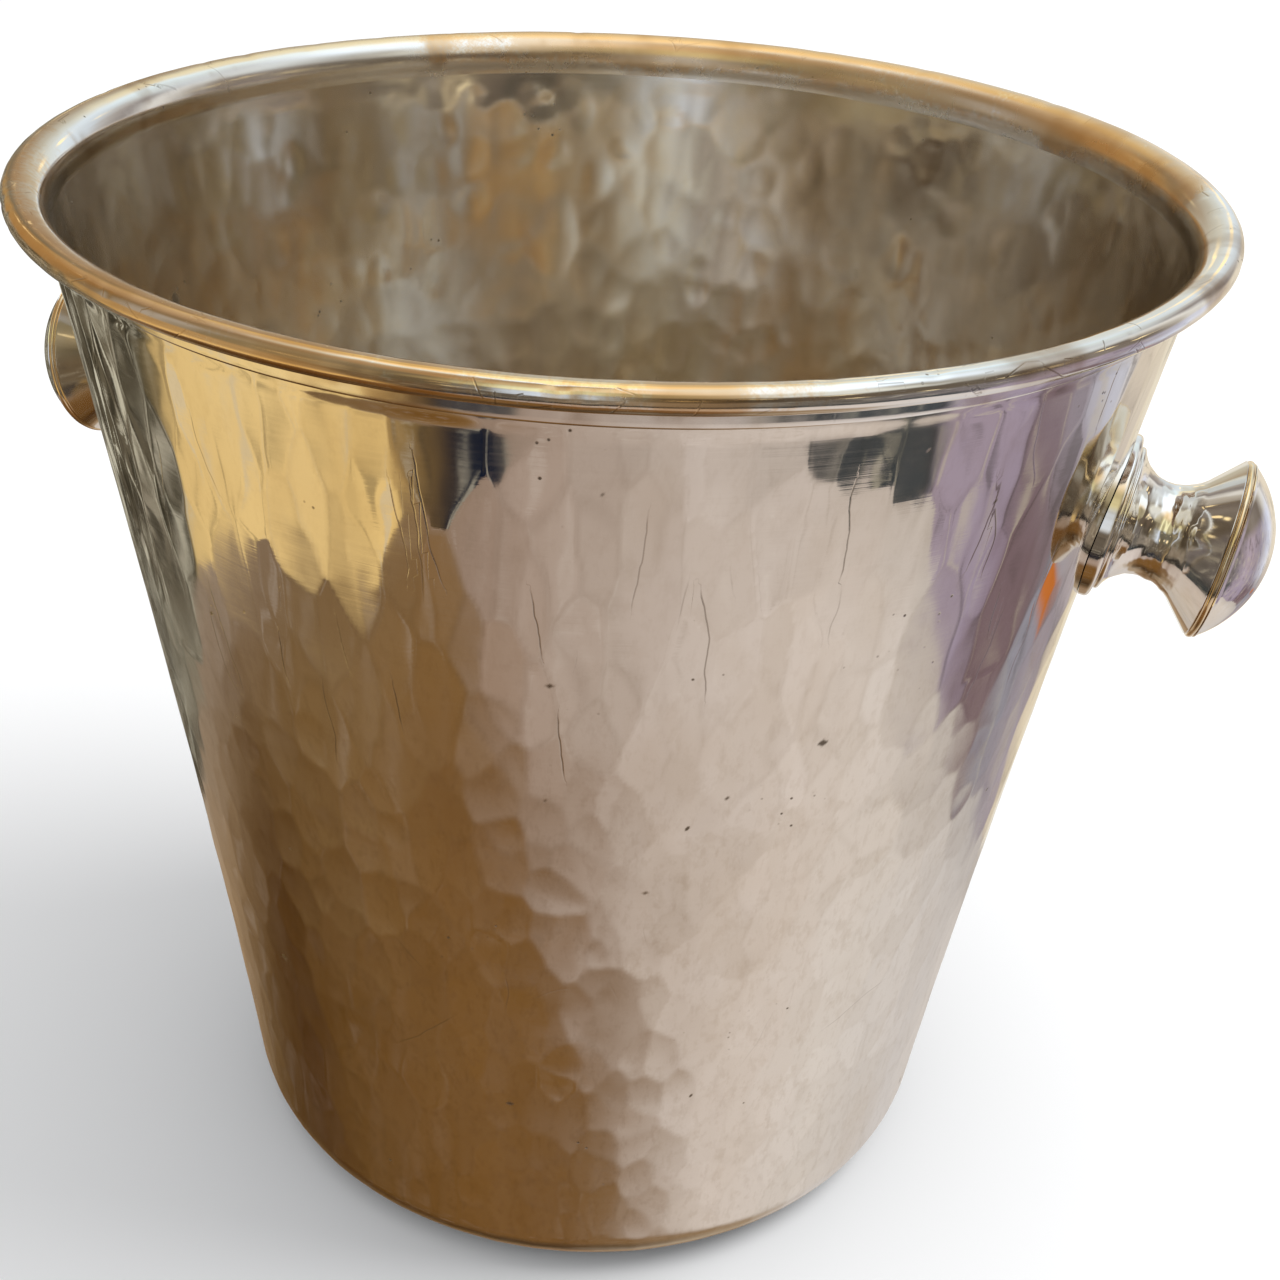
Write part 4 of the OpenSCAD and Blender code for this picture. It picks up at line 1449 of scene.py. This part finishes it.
class Surroundings:
    """The colour reflected from each direction."""

    def __init__(self, t):
        self.t = t
        self.direction = t.coords("Generated")
        x, y, z = t.put("ShaderNodeSeparateXYZ", Vector=self.direction).outputs
        to_degrees = 180 / math.pi
        azimuth = t.math("ARCTAN2", x, t.mul(y, -1.0))
        azimuth = t.math("MULTIPLY_ADD", azimuth, to_degrees, -VIEW_TURN)
        azimuth = t.math("WRAP", azimuth, 180.0, -180.0)
        sine = t.math("MAXIMUM", t.math("MINIMUM", z, 1.0), -1.0)
        self.elevation = t.mul(t.math("ARCSINE", sine), to_degrees)
        # the edges in the room are uneven
        wobble = t.noise(self.direction, scale=14, detail=3, rough=0.55)
        sway = t.noise(t.shift(self.direction, (3.1, 1.7, 2.2)), scale=9, detail=3, rough=0.55)
        self.azimuth = t.vary(azimuth, sway, 9.0)
        self.uneven = t.vary(self.elevation, wobble, 2.4)
        self.position = t.math("MULTIPLY_ADD", self.azimuth, 1 / 360, 0.5)
        self.edge = self.elevations(EDGE)

    def colours(self, stops, gain=1.0):
        """A colour by azimuth, divided by the silver that will tint it."""
        return self.t.ramp(self.position, [
            ((a + 180) / 360, tuple(gain * c / s for c, s in zip(srgb(*colour), SILVER)))
            for a, *colour in stops])

    def elevations(self, stops):
        ramp = self.t.ramp(self.position,
                           [((a + 180) / 360, (e + 90) / 180) for a, e in stops])
        return self.t.math("MULTIPLY_ADD", ramp, 180.0, -90.0)

    def table(self):
        t, edge = self.t, self.edge
        brown_top = self.elevations(BROWN_TOP)
        colour = t.mix(t.step(self.uneven, low=t.sub(edge, 12.0), high=t.sub(edge, 1.0)),
                       self.colours(BROWN_LOW), self.colours(BROWN_HIGH))
        pinkness = t.step(self.uneven, low=t.sub(brown_top, 4.6), high=t.add(brown_top, 4.6))
        colour = t.mix(pinkness, colour, self.colours(PINK))
        # the table top is not one even tone
        grain = t.noise(t.stretch(self.direction, (1, 1, 1.6)), scale=34, detail=3, rough=0.6)
        colour = t.layer(colour, t.step(grain, low=0.44, high=0.30), 0.20,
                         (0.22, 0.155, 0.10))
        colour = t.layer(colour, t.step(grain, low=0.54, high=0.68), 0.16,
                         (0.86, 0.79, 0.73))
        # straight down it is the shade under the bucket
        colour = t.mix(t.step(self.elevation, low=-70.0, high=-84.0, end=0.6), colour,
                       (0.055, 0.036, 0.022))
        # darker close to the edge
        return t.layer(colour, t.step(self.elevation, low=t.sub(edge, 4.5), high=edge), 0.22,
                       (0.16, 0.125, 0.095))

    def beyond_table(self):
        t, edge = self.t, self.edge
        streak = t.noise(t.stretch(self.direction, (24, 24, 5.0)), scale=1, detail=3,
                         rough=0.62)
        colour = t.mix(t.step(self.elevation, low=t.add(edge, 5.0), high=t.add(edge, 17.0)),
                       self.colours(ABOVE_EDGE), self.colours(FURTHER_UP))
        # upright streaks, dark and light
        colour = t.layer(colour, t.step(streak, low=0.56, high=0.66), 0.5, (0.05, 0.04, 0.03))
        colour = t.layer(colour, t.step(streak, low=0.44, high=0.36), 0.5, (0.62, 0.56, 0.44))
        # finer, stronger streaks at the far left
        far_left = t.fall(self.azimuth, low=-120.0, high=-109.0)
        fine = t.noise(t.stretch(self.direction, (52, 52, 8.0)), scale=1, detail=2, rough=0.6)
        colour = t.layer(colour, t.mul(t.step(fine, low=0.54, high=0.60), far_left), 0.8,
                         (0.70, 0.66, 0.52))
        colour = t.layer(colour, t.mul(t.step(fine, low=0.46, high=0.40), far_left), 0.7,
                         (0.02, 0.018, 0.012))
        # one small orange patch, at azimuth 127 and elevation -32.7
        off_azimuth = t.math("ABSOLUTE", t.sub(self.azimuth, 127.0))
        off_elevation = t.math("ABSOLUTE", t.add(self.elevation, 32.7))
        orange = t.mul(t.fall(off_azimuth, low=2.2, high=4.2),
                       t.fall(off_elevation, low=0.4, high=1.3))
        return t.layer(colour, orange, 0.92, (0.62, 0.17, 0.008))

    def room(self):
        t = self.t
        low = self.colours(ROOM_LOW, gain=1.1)
        lamps = t.voronoi(self.direction, scale=4.2).outputs["Distance"]
        low = t.mix(t.fall(lamps, low=0.09, high=0.20), low, (1.7, 1.35, 0.75))
        low = t.mix(0.18, low, (0.30, 0.26, 0.19))
        middle = t.mix(0.25, self.colours(ROOM_MIDDLE, gain=1.15), (0.36, 0.32, 0.24))
        colour = t.mix(t.step(self.elevation, low=25.0, high=37.0), low, middle)
        return t.mix(t.step(self.elevation, low=48.0, high=64.0), colour,
                     self.colours(ROOM_TOP, gain=1.22))

    def all_round(self):
        t, edge = self.t, self.edge
        over_edge = t.step(self.uneven, low=t.sub(edge, 0.16), high=t.add(edge, 0.16))
        ground = t.mix(over_edge, self.table(), self.beyond_table())
        return t.mix(t.step(self.elevation, low=-4.0, high=6.0), ground, self.room())


def build_world():
    world = bpy.data.worlds.new("studio")
    bpy.context.scene.world = world
    world.use_nodes = True
    world.cycles.sampling_method = "NONE"
    t = Tree(world.node_tree)
    out = t.put("ShaderNodeOutputWorld")
    light_path = t.put("ShaderNodeLightPath")

    def background(colour, strength):
        return t.put("ShaderNodeBackground", Color=colour, Strength=strength).outputs[0]

    def choose(ray, other, chosen):
        node = t.put("ShaderNodeMixShader")
        for socket, value in zip(node.inputs, (light_path.outputs[ray], other, chosen)):
            t.set(socket, value)
        return node.outputs[0]

    lighting = background((0.97, 0.975, 0.985), 0.90)
    backdrop = background((0.812, 0.816, 0.824), 1.0)
    reflected = background(Surroundings(t).all_round(), 1.0)
    shader = choose("Is Camera Ray", lighting, backdrop)
    t.set(out.inputs[0], choose("Is Glossy Ray", shader, reflected))


def set_render():
    scene = bpy.context.scene
    scene.view_settings.view_transform = "Standard"
    scene.view_settings.look = "None"
    scene.cycles.max_bounces = 8
    scene.cycles.glossy_bounces = 7
    scene.cycles.diffuse_bounces = 1
    scene.cycles.caustics_reflective = False
    scene.cycles.sample_clamp_indirect = 4.0


# ------------------------------------------------------------------ camera
CAMERA_PLACE = (0, -315.5, 286.31)      # mm, before the view turn
CAMERA_YAW, CAMERA_PITCH, CAMERA_ROLL = 0.006002, 0.531914, -0.049152      # radians


def build_camera():
    yaw, pitch, roll = CAMERA_YAW, CAMERA_PITCH, CAMERA_ROLL
    forward = np.array([math.sin(yaw) * math.cos(pitch), math.cos(yaw) * math.cos(pitch),
                        -math.sin(pitch)])
    level_right = np.array([math.cos(yaw), -math.sin(yaw), 0])
    level_down = np.cross(forward, level_right)
    right = math.cos(roll) * level_right + math.sin(roll) * level_down
    down = -math.sin(roll) * level_right + math.cos(roll) * level_down
    turn = np.array(Matrix.Rotation(math.radians(VIEW_TURN), 3, "Z"))
    pose = np.eye(4)
    pose[:3, 0], pose[:3, 1], pose[:3, 2] = turn @ right, turn @ -down, turn @ -forward
    pose[:3, 3] = turn @ np.array(CAMERA_PLACE) * MM
    data = bpy.data.cameras.new("camera")
    camera = bpy.data.objects.new("camera", data)
    bpy.context.scene.collection.objects.link(camera)
    camera.matrix_world = Matrix(pose.tolist())
    data.sensor_width = 36
    data.lens = 50.68265625
    data.shift_x = 0.021367969
    data.shift_y = 0.0061820313
    data.clip_start = 0.01
    bpy.context.scene.camera = camera


build_world()
set_render()
build_camera()

bpy.context.view_layer.update()
boxes = {"cad": cad_box, "visual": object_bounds()}
boxes = {name: [list(map(float, corner)) for corner in box] for name, box in boxes.items()}
